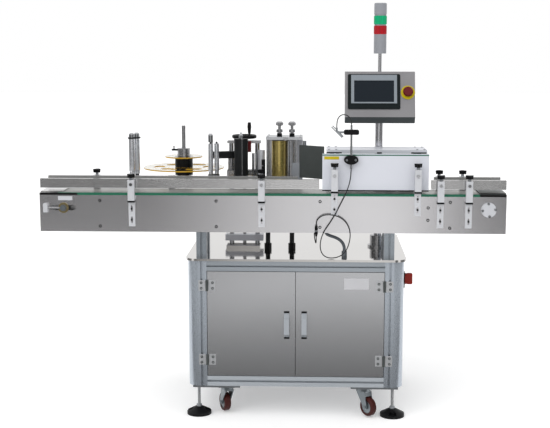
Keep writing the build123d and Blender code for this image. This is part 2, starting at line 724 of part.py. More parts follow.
def isolator_handle():
    """The isolator's red turning handle: a dial, a grip bar and the shaft in the body."""
    y = ISOLATOR_FRONT_Y + ISOLATOR_SIZE / 2
    face = ISOLATOR_FACE_X + ISOLATOR_DEPTH
    dial = rod_x(y, ISOLATOR_Z, face + RUN_GAP, face + ISOLATOR_DIAL, ISOLATOR_DIAL_R)
    grip = block(face + ISOLATOR_DIAL, face + ISOLATOR_DIAL + ISOLATOR_GRIP, y - ISOLATOR_GRIP_HALF,
                 y + ISOLATOR_GRIP_HALF, ISOLATOR_Z - ISOLATOR_DIAL_R, ISOLATOR_Z + ISOLATOR_DIAL_R)
    grip = fillet(grip.edges().filter_by(Axis.Y), ISOLATOR_GRIP_HALF - 1)
    shaft = rod_x(y, ISOLATOR_Z, ISOLATOR_FACE_X + ISOLATOR_WALL + 1, face + RUN_GAP, ISOLATOR_SHAFT_R)
    return dial + grip + shaft


# Conveyor
def conveyor_posts():
    """Four profile posts from the deck to the conveyor's bottom flanges."""
    section = Rectangle(POST, POST)
    for turn in (0, 90, 180, 270):
        section -= Rot(0, 0, turn) * Pos(0, -POST / 2) * slot_section()
    post = extrude(section, CONVEYOR_BOTTOM - DECK_TOP)
    near = POST_FRONT_INSET + POST / 2
    return group(*[Pos(x, y, DECK_TOP) * post for x in POST_XS for y in (near, CONVEYOR_WIDTH - near)])


def side_plate():
    """The front side plate with its bottom flange, the take-up slot and the drive shaft's hole."""
    section = make_face(Polyline((0, CONVEYOR_BOTTOM), (PLATE_FLANGE, CONVEYOR_BOTTOM),
                                 (PLATE_FLANGE, CONVEYOR_BOTTOM + PLATE_THICK),
                                 (PLATE_THICK, CONVEYOR_BOTTOM + PLATE_THICK),
                                 (PLATE_THICK, PLATE_TOP), (0, PLATE_TOP), close=True))
    plate = extrude(Plane.YZ * section, HALF, both=True)
    slot_width = 2 * (SHAFT_R + SLIDE_GAP)
    slot = extrude(SlotOverall(TAKE_UP_SLOT, slot_width), PLATE_THICK * 2, both=True)
    plate -= Pos(TAKE_UP_LEFT + TAKE_UP_SLOT / 2, 0, SHAFT_Z) * Rot(90, 0, 0) * slot
    plate -= rod_y(DRIVE_X, SHAFT_Z, -PLATE_THICK, PLATE_THICK * 2, SHAFT_R + 3)
    return plate


def conveyor_frame():
    """Two side plates, the tie bars between them and the bed that carries the belt."""
    front = side_plate()
    inner_front, inner_rear = PLATE_THICK, CONVEYOR_WIDTH - PLATE_THICK
    pieces = [front, mirror_y(front, CONVEYOR_WIDTH / 2)]
    for x, *heights in TIE_PAIRS:
        pieces += [rod_y(x, z, inner_front, inner_rear, TIE_R) for z in heights]
    bed_top = BELT_TOP - BELT_THICK
    ledge = PLATE_TOP - 1
    half_section = [(inner_front, ledge - BED_FLANGE), (inner_front + BED_WALL, ledge - BED_FLANGE),
                    (inner_front + BED_WALL, ledge - BED_WALL), (BELT_FRONT + BED_WALL, ledge - BED_WALL),
                    (BELT_FRONT + BED_WALL, bed_top - BED_WALL)]
    upper = [(BELT_FRONT, bed_top), (BELT_FRONT, ledge), (inner_front, ledge)]
    mirrored = [(CONVEYOR_WIDTH - y, z) for y, z in reversed(half_section)]
    upper_mirrored = [(CONVEYOR_WIDTH - y, z) for y, z in reversed(upper)]
    section = make_face(Polyline(half_section + mirrored + upper_mirrored + upper, close=True))
    left, right = IDLER_X + BED_END_GAP, DRIVE_X - BED_END_GAP
    bed = Pos(left, 0, 0) * extrude(Plane.YZ * section, right - left)
    return group(*pieces, bed)


def wear_strips():
    """The green strips that cap the side plates and edge the belt."""
    left, right = -HALF + STRIP_LEFT_INSET, HALF - STRIP_RIGHT_INSET
    strip = block(left, right, 0, STRIP_WIDTH, PLATE_TOP, BELT_TOP)
    return group(strip, mirror_y(strip, CONVEYOR_WIDTH / 2))


def stadium(x0, x1, radius):
    """The outline round two equal circles on the X axis."""
    return Pos((x0 + x1) / 2, 0) * SlotCenterToCenter(x1 - x0, 2 * radius)


def conveyor_belt():
    """The belt loop round the drive roller and the idler."""
    loop = stadium(IDLER_X, DRIVE_X, BELT_R) - stadium(IDLER_X, DRIVE_X, BELT_R - BELT_THICK)
    band = extrude(loop, (BELT_REAR - BELT_FRONT) / 2, both=True)
    return Pos(0, CONVEYOR_WIDTH / 2, SHAFT_Z) * Rot(90, 0, 0) * band


def end_fittings():
    """The transfer plates over both ends, the drive bearings, and the idler's axle with its take-up."""
    plate_low = BELT_TOP + RUN_GAP
    lap = PLATE_THICK
    pieces = []
    for outer, inner, plate_inner in ((-HALF, -HALF + STRIP_LEFT_INSET, -HALF + END_PLATE_LEFT),
                                      (HALF, HALF - STRIP_RIGHT_INSET, HALF - END_PLATE_RIGHT)):
        edge = block(outer, inner, 0, STRIP_WIDTH, PLATE_TOP, plate_low)
        plate = block(outer, plate_inner, STRIP_WIDTH - lap, CONVEYOR_WIDTH - STRIP_WIDTH + lap,
                      plate_low, plate_low + END_PLATE_THICK)
        pieces += [plate, edge, mirror_y(edge, CONVEYOR_WIDTH / 2)]
    flange = rod_y(DRIVE_X, SHAFT_Z, -FLANGE_THICK, 0, FLANGE_R)
    blind_flange = flange - rod_y(DRIVE_X, SHAFT_Z, -FLANGE_THICK + FLANGE_FACE, 0, SHAFT_R + SLIDE_GAP)
    open_flange = flange - rod_y(DRIVE_X, SHAFT_Z, -FLANGE_THICK, 0, SHAFT_R + SLIDE_GAP)
    axle_end = WASHER_THICK + NUT_THICK + 3
    axle = rod_y(IDLER_X, SHAFT_Z, -axle_end, CONVEYOR_WIDTH + axle_end, SHAFT_R)
    bore = rod_y(IDLER_X, SHAFT_Z, -axle_end, 0, SHAFT_R + SLIDE_GAP)
    washer = rod_y(IDLER_X, SHAFT_Z, -WASHER_THICK, 0, WASHER_R) - bore
    nut = hexagon_y(IDLER_X, SHAFT_Z, -WASHER_THICK - NUT_THICK, -WASHER_THICK, NUT_AF) - bore
    half = TAKE_UP_BLOCK_HEIGHT / 2
    block_right = TAKE_UP_LEFT - 2
    screw_y = -TAKE_UP_BLOCK_THICK / 2
    take_up = block(block_right - TAKE_UP_BLOCK, block_right, -TAKE_UP_BLOCK_THICK, 0,
                    SHAFT_Z - half, SHAFT_Z + half)
    screw = rod_x(screw_y, SHAFT_Z, block_right, IDLER_X - NUT_AF / math.sqrt(3), TAKE_UP_SCREW_R)
    near = [washer, nut, take_up, screw]
    far = [mirror_y(piece, CONVEYOR_WIDTH / 2) for piece in near + [open_flange]]
    return group(*pieces, blind_flange, axle, *near, *far)


def drive_roller():
    """The driven roller and its shaft, from the front bearing to the gearbox."""
    roller = rod_y(DRIVE_X, SHAFT_Z, BELT_FRONT, BELT_REAR, ROLLER_R)
    shaft_end = CONVEYOR_WIDTH + FLANGE_THICK + GEARBOX_DEPTH / 2
    shaft = rod_y(DRIVE_X, SHAFT_Z, -FLANGE_THICK + FLANGE_FACE + RUN_GAP, shaft_end, SHAFT_R)
    return roller + shaft


def idler_roller():
    """The idler, which turns on its fixed axle."""
    return rod_y(IDLER_X, SHAFT_Z, BELT_FRONT, BELT_REAR, ROLLER_R) - rod_y(
        IDLER_X, SHAFT_Z, BELT_FRONT, BELT_REAR, SHAFT_R + SLIDE_GAP)


def drive_motor():
    """The gearbox on the rear bearing and its motor."""
    near = CONVEYOR_WIDTH + FLANGE_THICK
    half = GEARBOX / 2
    gearbox = block(DRIVE_X - half, DRIVE_X + half, near, near + GEARBOX_DEPTH, SHAFT_Z - half, SHAFT_Z + half)
    gearbox = fillet(gearbox.edges().filter_by(Axis.Y), 8)
    gearbox -= rod_y(DRIVE_X, SHAFT_Z, near, near + GEARBOX_DEPTH / 2 + RUN_GAP, SHAFT_R + SLIDE_GAP)
    motor = rod_y(DRIVE_X, SHAFT_Z, near + GEARBOX_DEPTH, near + GEARBOX_DEPTH + MOTOR_LENGTH, MOTOR_R)
    return group(gearbox, motor)


# Guide rails and brackets
def bracket(x, bottom, step, top, rod_level):
    """A front bracket: a slotted bar on the side plate and a bored block that holds a rail's rod."""
    left, right = x - BRACKET_WIDTH / 2, x + BRACKET_WIDTH / 2
    bar = block(left, right, -BRACKET_BAR, 0, bottom, top)
    bar += block(left, right, -BRACKET_FACE, -BRACKET_BAR, step, top)
    bar -= rod_y(x, rod_level, -BRACKET_FACE, 0, ROD_R + SLIDE_GAP)
    slot = extrude(SlotOverall(BRACKET_SLOT_LENGTH, BRACKET_SLOT_WIDTH, rotation=90), BRACKET_BAR, both=True)
    span = step - SPACER_HEIGHT - bottom
    for share in (0.27, 0.73):
        bar -= Pos(x, 0, bottom + share * span) * Rot(90, 0, 0) * slot
    return bar


def front_brackets():
    """The brackets on the front plate as (x, bottom, step, top, rod height)."""
    rails = [(x, BRACKET_BOTTOM, BRACKET_STEP, BRACKET_TOP, ROD_Z) for x in FRONT_LEFT_RODS + FRONT_RIGHT_RODS]
    boards = [(x, BOARD_BRACKET_BOTTOM, BOARD_BRACKET_STEP, BOARD_BRACKET_TOP, BOARD_ROD_Z) for x in BOARD_RODS]
    return rails + boards


def rear_brackets():
    """The brackets on the rear plate, in the same form."""
    return [(x, BRACKET_BOTTOM, BRACKET_STEP, BRACKET_TOP, ROD_Z) for x in REAR_LEFT_RODS + REAR_RIGHT_RODS]


def clamp_brackets():
    """All brackets on both side plates."""
    front = [bracket(*place) for place in front_brackets()]
    rear = [mirror_y(bracket(*place), CONVEYOR_WIDTH / 2) for place in rear_brackets()]
    return group(*front, *rear)


def clamp_knob(x, z):
    """A three-lobed hand screw on top of a front bracket's block."""
    section = Circle(KNOB_R * 0.55)
    for turn in (30, 150, 270):
        section += Rot(0, 0, turn) * Pos(KNOB_R * 0.6, 0) * Circle(KNOB_R * 0.34)
    head = extrude(section, KNOB_HEIGHT, taper=-6)
    stem = rod_z(0, 0, 0, KNOB_STEM, KNOB_STEM_R)
    return Pos(x, -BRACKET_BAR - BRACKET_BLOCK / 2, z) * (stem + Pos(0, 0, KNOB_STEM) * head)


def clamp_knobs():
    """The hand screws, and the black packing under each bracket's block."""
    pieces = []
    for places, rear in ((front_brackets(), False), (rear_brackets(), True)):
        for x, _, step, top, _ in places:
            side = BRACKET_WIDTH / 2 + 1
            made = [block(x - side, x + side, -BRACKET_FACE, -BRACKET_BAR, step - SPACER_HEIGHT, step)]
            if x != PLAIN_BRACKET:
                made.append(clamp_knob(x, top))
            pieces += [mirror_y(piece, CONVEYOR_WIDTH / 2) for piece in made] if rear else made
    return group(*pieces)


def guide_rail(span, rods):
    """A front guide rail: a channel, its sliding strip and the rods that the brackets hold."""
    left, right = span
    near, far = RAIL_INSET, RAIL_INSET + RAIL_DEPTH
    channel = block(left, right, near, far, RAIL_Z, RAIL_TOP)
    channel -= block(left, right, near + RAIL_WALL, far, RAIL_Z + RAIL_WALL, RAIL_TOP - RAIL_WALL)
    strip = block(left, right, near + RAIL_WALL, near + RAIL_WALL + RAIL_INSERT, RAIL_Z + RAIL_WALL,
                  RAIL_TOP - RAIL_WALL)
    bars = [rod_y(x, ROD_Z, -BRACKET_FACE - ROD_END, near, ROD_R) for x in rods]
    return group(channel, strip, *bars)


# Wrap station
def wrap_board():
    """The front board with its soft pad and its two rods."""
    right, top = BOARD_LEFT + BOARD_WIDTH, BOARD_BOTTOM + BOARD_HEIGHT
    rear = BOARD_FRONT + BOARD_THICK
    board = block(BOARD_LEFT, right, BOARD_FRONT, rear, BOARD_BOTTOM, top)
    pad = block(BOARD_LEFT, right, rear, rear + PAD_THICK, BOARD_BOTTOM, top + PAD_RISE)
    bars = [rod_y(x, BOARD_ROD_Z, -BRACKET_FACE - ROD_END, BOARD_FRONT, ROD_R) for x in BOARD_RODS]
    return group(board, pad, *bars)


WRAP_ROLLER_XS = (WRAP_LEFT + WRAP_ROLLER_INSET + WRAP_BELT_R, WRAP_RIGHT - WRAP_ROLLER_INSET - WRAP_BELT_R)
WRAP_BASE_TOP = WRAP_BASE_Z + WRAP_BASE_THICK
WRAP_BELT_LOW = WRAP_BASE_TOP + WRAP_BELT_GAP
WRAP_BELT_HIGH = WRAP_TOP_Z - WRAP_BELT_GAP
WRAP_BEARING = 8.0


def wrap_frame():
    """The wrap unit's base, top plate, spacers, deck post and motor."""
    front = WRAP_AXIS_Y - WRAP_BELT_R
    base = block(WRAP_LEFT, WRAP_RIGHT, front, WRAP_REAR, WRAP_BASE_Z, WRAP_BASE_TOP)
    top = block(WRAP_LEFT, WRAP_RIGHT, WRAP_FRONT, WRAP_REAR, WRAP_TOP_Z, WRAP_TOP_Z + WRAP_TOP_THICK)
    for x in WRAP_ROLLER_XS:
        base -= rod_z(x, WRAP_AXIS_Y, WRAP_BASE_Z, WRAP_BASE_TOP, WRAP_SHAFT_R + SLIDE_GAP)
        top -= rod_z(x, WRAP_AXIS_Y, WRAP_TOP_Z, WRAP_TOP_Z + WRAP_BEARING + RUN_GAP, WRAP_SHAFT_R + SLIDE_GAP)
    rear_line = WRAP_REAR - WRAP_SPACER_INSET
    spacers = [rod_z(x, rear_line, WRAP_BASE_TOP, WRAP_TOP_Z, WRAP_SPACER_R)
               for x in (WRAP_LEFT + WRAP_SPACER_INSET, WRAP_RIGHT - WRAP_SPACER_INSET)]
    post_y = rear_line - POST / 2
    post = Pos(WRAP_POST_X, post_y, DECK_TOP) * extrude(Rectangle(POST, POST), WRAP_BASE_Z - DECK_TOP)
    post = fillet(post.edges().filter_by(Axis.Z), WRAP_POST_ROUND)
    motor = rod_z(WRAP_RIGHT - WRAP_MOTOR_INSET, rear_line - WRAP_MOTOR_R / 2, WRAP_BASE_Z - WRAP_MOTOR_LENGTH,
                  WRAP_BASE_Z, WRAP_MOTOR_R)
    return group(base, top, *spacers, post, motor)


def wrap_belt():
    """The flat belt that turns the bottle, round two upright rollers."""
    left, right = WRAP_ROLLER_XS
    loop = stadium(left, right, WRAP_BELT_R) - stadium(left, right, WRAP_BELT_R - WRAP_BELT_THICK)
    return Pos(0, WRAP_AXIS_Y, WRAP_BELT_LOW) * extrude(loop, WRAP_BELT_HIGH - WRAP_BELT_LOW)


def wrap_roller(x):
    """An upright roller of the wrap belt, with its shaft ends."""
    drum = rod_z(x, WRAP_AXIS_Y, WRAP_BELT_LOW, WRAP_BELT_HIGH, WRAP_BELT_R - WRAP_BELT_THICK - RUN_GAP)
    return drum + rod_z(x, WRAP_AXIS_Y, WRAP_BASE_Z, WRAP_TOP_Z + WRAP_BEARING, WRAP_SHAFT_R)


# Sensor on the wrap board
SENSOR_CENTRE = (252.0, 1124.0)
SENSOR_SIZE = (58.0, 14.0, 10.0)
SENSOR_GLAND_X = 250.0
SENSOR_GLAND_TOP = 1139.0


def sensor_stand():
    """The oval clamp, the hollow stand tube, the cross clamp and the slanted fork sensor."""
    clamp_rear, clamp_front = BOARD_FRONT, STAND_Y - STAND_TUBE_R * 2
    oval = extrude(Ellipse(CLAMP_WIDTH / 2, CLAMP_HEIGHT / 2), clamp_rear - clamp_front)
    clamp = Pos(STAND_X, clamp_rear, CLAMP_Z) * Rot(90, 0, 0) * oval
    hole = rod_z(STAND_X, STAND_Y, STAND_BOTTOM, STAND_TOP, STAND_TUBE_R + SLIDE_GAP)
    stand = rod_z(STAND_X, STAND_Y, STAND_BOTTOM, STAND_TOP, STAND_TUBE_R)
    stand -= rod_z(STAND_X, STAND_Y, STAND_BOTTOM, STAND_TOP, LEAD_R + SLIDE_GAP)
    cross = block(STAND_X - CROSS_HALF, STAND_X + CROSS_HALF, STAND_Y - CROSS_DEPTH / 2, STAND_Y + CROSS_DEPTH / 2,
                  CROSS_Z - CROSS_HEIGHT / 2, CROSS_Z + CROSS_HEIGHT / 2)
    cross = fillet(cross.edges().filter_by(Axis.Y), CROSS_HEIGHT / 3) - hole
    arm = rod_x(STAND_Y, CROSS_Z, SENSOR_CENTRE[0], STAND_X - CROSS_HALF, STAND_TUBE_R)
    length, depth, height = SENSOR_SIZE
    body = Box(length, depth, height) - Pos(-length * 0.3, 0, 0) * Box(length * 0.4, depth, height * 0.3)
    sensor = Pos(SENSOR_CENTRE[0], STAND_Y, SENSOR_CENTRE[1]) * Rot(0, 45, 0) * body
    gland = rod_z(SENSOR_GLAND_X, STAND_Y, SENSOR_CENTRE[1], SENSOR_GLAND_TOP, LEAD_R + 1.5)
    return group(clamp - hole, stand, cross, sensor + gland + arm)


UPPER_LEAD = [(SENSOR_GLAND_X, STAND_Y, SENSOR_GLAND_TOP), (SENSOR_GLAND_X, STAND_Y, 1153),
              (252, STAND_Y, 1169), (259, STAND_Y, 1182), (271, STAND_Y, 1189), (285, STAND_Y, 1188),
              (297, STAND_Y, 1180), (STAND_X, STAND_Y, 1167), (STAND_X, STAND_Y, STAND_TOP)]
LOWER_LEAD = [(STAND_X, STAND_Y, STAND_BOTTOM - RUN_GAP), (305, 3, 955), (301, -1, 930), (293, -6, 904),
              (281, -9, 876), (267, -9.5, 848), (252, -9.5, 818), (236, -9.6, 789), (219, -9.8, 763),
              (203, -10, 739), (193, -11, 714), (189, -12, 690), (191, -13, 667), (200, -13.5, 649),
              (216, -14, 639), (236, -14.4, 637), (257, -15, 641), (276, -15.4, 651), (290, -16, 668),
              (299, -16, 690), (304, -16.2, 714), (304.5, -16, 738), (298, -15.6, 761), (285, -15.2, 781),
              (266, -15, 796), (244, -15, 804), (221, -14.8, 807), (200, -14.5, 804), (184, -14, 794),
              (174, -13.2, 780), (174, -13.2, 764)]
CONNECTOR_X, CONNECTOR_Y = LOWER_LEAD[-1][0], LOWER_LEAD[-1][1]
CONNECTOR_TOP = LOWER_LEAD[-1][2]
CONNECTOR_LENGTH = 42.0
CONNECTOR_R = 6.0
BOX_LOW = CONVEYOR_BOTTOM + 7
BOX_HEIGHT = 24.0
BOX_MARGIN = 12.0
LEAD_ENTRY = (166.0, 45.0)
LEAD_TAIL = [(CONNECTOR_X, CONNECTOR_Y, CONNECTOR_TOP - CONNECTOR_LENGTH), (CONNECTOR_X, CONNECTOR_Y, 706),
             (173.5, -5, 696), (172, 8, 692), (170, 23, 697), (167.5, 36, 708), (*LEAD_ENTRY, 722),
             (*LEAD_ENTRY, BOX_LOW)]


def sensor_lead_lower():
    """The lead from the stand to its connector, and its tail up into the junction box."""
    return group(tube(LOWER_LEAD, LEAD_R), tube(LEAD_TAIL, LEAD_R))


def lead_connector():
    """The round in-line connector on the lead."""
    low = CONNECTOR_TOP - CONNECTOR_LENGTH
    grip, neck = CONNECTOR_R, CONNECTOR_R * 0.7
    body = turned([(0, 0), (neck, 0), (neck, 6), (grip, 8), (grip, 18), (neck, 19), (neck, 23), (grip, 24),
                   (grip, 34), (neck, 36), (neck, CONNECTOR_LENGTH), (0, CONNECTOR_LENGTH)])
    return Pos(CONNECTOR_X, CONNECTOR_Y, low) * body


# Cable hoses
HOSE_FEET = ((-22.0, 205.0), (75.0, 208.0))
HOSE_END_Z = 800.0
HOSE_SHIFT = 24.0
HOSE_BENDS = ((0.0, 0.0, 0.3), (0.2, 2.0, 0.56), (0.55, 0.0, 0.8), (0.85, -8.0, 0.95))
GREY_FOOT = (284.0, 62.0)
GREY_FOOT_TOP = DECK_TOP + HOSE_GLAND * 0.8
GREY_ENTRY = (209.0, 48.0)
GREY_ROUTE = [(*GREY_FOOT, GREY_FOOT_TOP), (*GREY_FOOT, 666), (279, 61, 682), (266, 58, 697), (248, 54, 707),
              (230, 50, 713), (215, 48, 720), (*GREY_ENTRY, 731), (*GREY_ENTRY, BOX_LOW)]


def deck_hose(x, y):
    """A black hose from a deck gland to a gland on the rear side plate."""
    foot_top = DECK_TOP + HOSE_GLAND
    end_y = CONVEYOR_WIDTH + HOSE_GLAND
    rise = HOSE_END_Z - foot_top
    bends = [(x + HOSE_SHIFT * across, y + back, foot_top + rise * up) for across, back, up in HOSE_BENDS]
    route = [(x, y, foot_top), *bends, (x + HOSE_SHIFT, (y + end_y) / 2, HOSE_END_Z),
             (x + HOSE_SHIFT, end_y, HOSE_END_Z)]
    foot = hexagon_z(x, y, DECK_TOP, foot_top, HOSE_GLAND_R * 1.8)
    wall = hexagon_y(x + HOSE_SHIFT, HOSE_END_Z, CONVEYOR_WIDTH, end_y, HOSE_GLAND_R * 1.8)
    return [foot, wall, tube(route, HOSE_R)]


def conduits():
    """Both black hoses, the grey hose and the junction box inside the conveyor."""
    pieces = []
    for x, y in HOSE_FEET:
        pieces += deck_hose(x, y)
    boxes = [block(x - BOX_MARGIN, x + BOX_MARGIN, PLATE_THICK, y + BOX_MARGIN, BOX_LOW, BOX_LOW + BOX_HEIGHT)
             for x, y in (LEAD_ENTRY, GREY_ENTRY)]
    gland = hexagon_z(*GREY_FOOT, DECK_TOP, GREY_FOOT_TOP, GREY_HOSE_R * 3)
    return group(*pieces, *boxes, gland, tube(GREY_ROUTE, GREY_HOSE_R))


# Operator panel
def pole_socket():
    """The collar on the deck that holds the panel's pole."""
    collar = turned([(POLE_R + SLIDE_GAP, 0), (SOCKET_R + 9, 0), (SOCKET_R + 9, 8), (SOCKET_R, 8),
                     (SOCKET_R, SOCKET_HEIGHT), (POLE_R + SLIDE_GAP, SOCKET_HEIGHT)])
    return Pos(POLE_X, POLE_Y, DECK_TOP) * collar


def hmi_pole():
    """The panel's pole and the signal tower's stem."""
    pole = rod_z(POLE_X, POLE_Y, DECK_TOP + RUN_GAP, PANEL_BOTTOM, POLE_R)
    stem = rod_z(POLE_X, POLE_Y, PANEL_TOP, PANEL_TOP + TOWER_POLE, TOWER_POLE_R)
    return group(pole, stem)


TILT = math.radians(PANEL_TILT)
FACE_BOTTOM = PANEL_BOTTOM + PANEL_CHIN
FACE_LENGTH = (PANEL_TOP - FACE_BOTTOM) / math.cos(TILT)
PANEL_LEFT = POLE_X - PANEL_WIDTH / 2
PANEL_FACE = Plane((PANEL_LEFT, PANEL_FRONT, FACE_BOTTOM), x_dir=(1, 0, 0),
                   z_dir=(0, -math.cos(TILT), math.sin(TILT)))
STOP_PLACE = (PANEL_WIDTH - STOP_INSET, FACE_LENGTH * 0.54)
STOP_HOLE = 18.0
SCREEN = (158.0, 88.0)


def hmi_box():
    """The sloped housing, the bezel, the screen glass and the disc behind the stop button."""
    rear = PANEL_FRONT + PANEL_DEPTH
    top_front = PANEL_FRONT + (PANEL_TOP - FACE_BOTTOM) * math.tan(TILT)
    side = make_face(Polyline((PANEL_FRONT, FACE_BOTTOM), (top_front, PANEL_TOP), (rear, PANEL_TOP),
                              (rear, PANEL_BOTTOM), (PANEL_FRONT + PANEL_CHIN, PANEL_BOTTOM), close=True))
    housing = Pos(PANEL_LEFT, 0, 0) * extrude(Plane.YZ * side, PANEL_WIDTH)
    stop_x, stop_y = STOP_PLACE
    hole = PANEL_FACE * Pos(stop_x, stop_y, 0) * Cylinder(STOP_STEM_R + SLIDE_GAP, STOP_HOLE * 2)
    housing -= hole
    bezel_x = BEZEL_LEFT_INSET + BEZEL_WIDTH / 2
    bezel_y = FACE_LENGTH - BEZEL_LEFT_INSET - BEZEL_HEIGHT / 2
    middle = PANEL_FACE * Pos(bezel_x, bezel_y, 0)
    bezel = extrude(RectangleRounded(BEZEL_WIDTH, BEZEL_HEIGHT, 6) - Rectangle(*SCREEN), BEZEL_THICK)
    glass = extrude(Rectangle(*SCREEN), BEZEL_THICK - 1.5)
    disc = PANEL_FACE * Pos(stop_x, stop_y, STOP_DISC_THICK / 2) * Cylinder(STOP_DISC_R, STOP_DISC_THICK)
    return group(housing, middle * bezel, middle * glass, disc - hole)


def stop_button():
    """The red mushroom button and its stem."""
    low = STOP_DISC_THICK + STOP_TRAVEL + 1
    head = turned([(0, low), (STOP_HEAD_R - 4, low), (STOP_HEAD_R, low + 5), (STOP_HEAD_R, low + STOP_HEAD - 5),
                   (STOP_HEAD_R - 4, low + STOP_HEAD), (0, low + STOP_HEAD)])
    stem = rod_z(0, 0, -STOP_HOLE + STOP_TRAVEL + 2, low, STOP_STEM_R)
    return PANEL_FACE * Pos(*STOP_PLACE, 0) * (head + stem)


def tower_light():
    """The signal tower: base, red lens, ring, green lens, ring and cap."""
    pieces = []
    z = PANEL_TOP + TOWER_POLE
    for height, radius in ((TOWER_BASE, TOWER_R), (TOWER_LENS, TOWER_R), (TOWER_RING, TOWER_R - 1.5),
                           (TOWER_LENS, TOWER_R), (TOWER_RING, TOWER_R - 1.5), (TOWER_CAP, TOWER_R)):
        pieces.append(rod_z(POLE_X, POLE_Y, z, z + height, radius))
        z += height
    pieces[-1] = fillet(pieces[-1].edges().sort_by(Axis.Z)[-1:], 5)
    return group(*pieces)


# Label head
COLUMN_XS = (SCREW_X - COLUMN_SPREAD, SCREW_X + COLUMN_SPREAD)
CARRIAGE_LEFT, CARRIAGE_RIGHT = SCREW_X - CARRIAGE_HALF, SCREW_X + CARRIAGE_HALF
ARM_TOP = CARRIAGE_Z + ARM_HEIGHT
SLEEVE_WALL = 4.0
GUIDE_MIDDLE = tuple((first + second) / 2 for first, second in zip(*GUIDE_PLACES))


def head_pedestal():
    """Base, tie plate, two columns and top plate that carry the head, and the position indicator."""
    half = CARRIAGE_HALF + PEDESTAL_MARGIN
    left, right = SCREW_X - half, SCREW_X + half
    inner_left, inner_right = left + PEDESTAL_INSET, right - PEDESTAL_INSET
    base_top, plate_top = DECK_TOP + PEDESTAL_BASE, PEDESTAL_TOP_Z + PEDESTAL_TOP
    base = block(inner_left, inner_right, HEAD_FRONT, CARRIAGE_REAR, DECK_TOP, base_top)
    tie = block(left, right, CARRIAGE_FRONT, CARRIAGE_REAR, PEDESTAL_TIE_Z, PEDESTAL_TIE_Z + PEDESTAL_TIE)
    top = block(inner_left, inner_right, CARRIAGE_FRONT, CARRIAGE_REAR, PEDESTAL_TOP_Z, plate_top)
    columns = [rod_z(x, SCREW_Y, base_top, PEDESTAL_TOP_Z, COLUMN_R) for x in COLUMN_XS]
    for x in COLUMN_XS:
        tie -= rod_z(x, SCREW_Y, PEDESTAL_TIE_Z, PEDESTAL_TIE_Z + PEDESTAL_TIE, COLUMN_R + SLIDE_GAP)
    screw_way = rod_z(SCREW_X, SCREW_Y, PEDESTAL_TIE_Z, plate_top, SCREW_R + SLIDE_GAP)
    indicator_left = SCREW_X + INDICATOR_LEFT
    indicator = block(indicator_left, indicator_left + INDICATOR_WIDTH, CARRIAGE_FRONT - INDICATOR_DEPTH,
                      CARRIAGE_FRONT, PEDESTAL_TOP_Z - INDICATOR_DROP, plate_top)
    return group(base, tie - screw_way, top - screw_way, *columns, indicator)


def handwheel():
    """The handwheel with its crank grip, on the lead screw."""
    rim, inner = HANDWHEEL_RIM, HANDWHEEL_R - 2 * HANDWHEEL_RIM
    wheel = turned([(inner, -rim / 2), (inner + rim / 2, -rim), (HANDWHEEL_R - rim / 2, -rim), (HANDWHEEL_R, -rim / 2),
                    (HANDWHEEL_R, rim / 2), (HANDWHEEL_R - rim / 2, rim), (inner + rim / 2, rim), (inner, rim / 2)])
    wheel += rod_z(0, 0, -HANDWHEEL_HUB, HANDWHEEL_HUB, SCREW_R * 2)
    for turn in (0, 120, 240):
        wheel += Rot(0, 0, turn) * block(SCREW_R, inner + rim, -rim / 2, rim / 2, -rim / 2, rim / 2)
    grip_low = rim + GRIP_R
    grip = turned([(0, 0), (GRIP_R / 2, 0), (GRIP_R / 2, grip_low), (GRIP_R * 0.7, grip_low),
                   (GRIP_R, grip_low + GRIP_HEIGHT * 0.6), (GRIP_R * 0.8, grip_low + GRIP_HEIGHT),
                   (0, grip_low + GRIP_HEIGHT)])
    wheel += Rot(0, 0, GRIP_TURN) * Pos(HANDWHEEL_R - rim, 0, 0) * grip
    screw_foot = DECK_TOP + PEDESTAL_BASE + RUN_GAP - HANDWHEEL_Z
    return Pos(SCREW_X, SCREW_Y, HANDWHEEL_Z) * (wheel + rod_z(0, 0, screw_foot, 0, SCREW_R))


def arm_bar(start, end, width):
    """A flat bar with round ends between two places in plan."""
    ends = (Pos(*start) * Circle(width / 2)).edges() + (Pos(*end) * Circle(width / 2)).edges()
    return Pos(0, 0, CARRIAGE_Z) * extrude(make_hull(ends), ARM_HEIGHT)


def head_arms():
    """The carriage on the columns with the dancer's sleeve, the arm to the reel and the arm to the guide rollers."""
    carriage_top, sleeve_top = CARRIAGE_Z + CARRIAGE_HEIGHT, DANCER_ARM_Z - RUN_GAP
    block_form = block(CARRIAGE_LEFT, CARRIAGE_RIGHT, CARRIAGE_FRONT, CARRIAGE_REAR, CARRIAGE_Z, carriage_top)
    carriage = block_form + rod_z(*DANCER_PIVOT, carriage_top, sleeve_top, COLUMN_R + SLEEVE_WALL)
    for x in COLUMN_XS:
        carriage -= rod_z(x, SCREW_Y, CARRIAGE_Z, sleeve_top, COLUMN_R + SLIDE_GAP)
    carriage -= rod_z(SCREW_X, SCREW_Y, CARRIAGE_Z, carriage_top, SCREW_R + SLIDE_GAP)
    mid_y = (CARRIAGE_FRONT + CARRIAGE_REAR) / 2
    reel_arm = arm_bar((CARRIAGE_LEFT, mid_y), (REEL_X, REEL_Y), ARM_WIDTH)
    guide_arm = arm_bar((REEL_X, REEL_Y), GUIDE_MIDDLE, ARM_WIDTH * 0.8)
    guide_pad = rod_z(*GUIDE_MIDDLE, CARRIAGE_Z, ARM_TOP, ARM_WIDTH * 0.85)
    return [carriage, reel_arm - block_form, guide_arm - reel_arm - guide_pad, guide_pad]


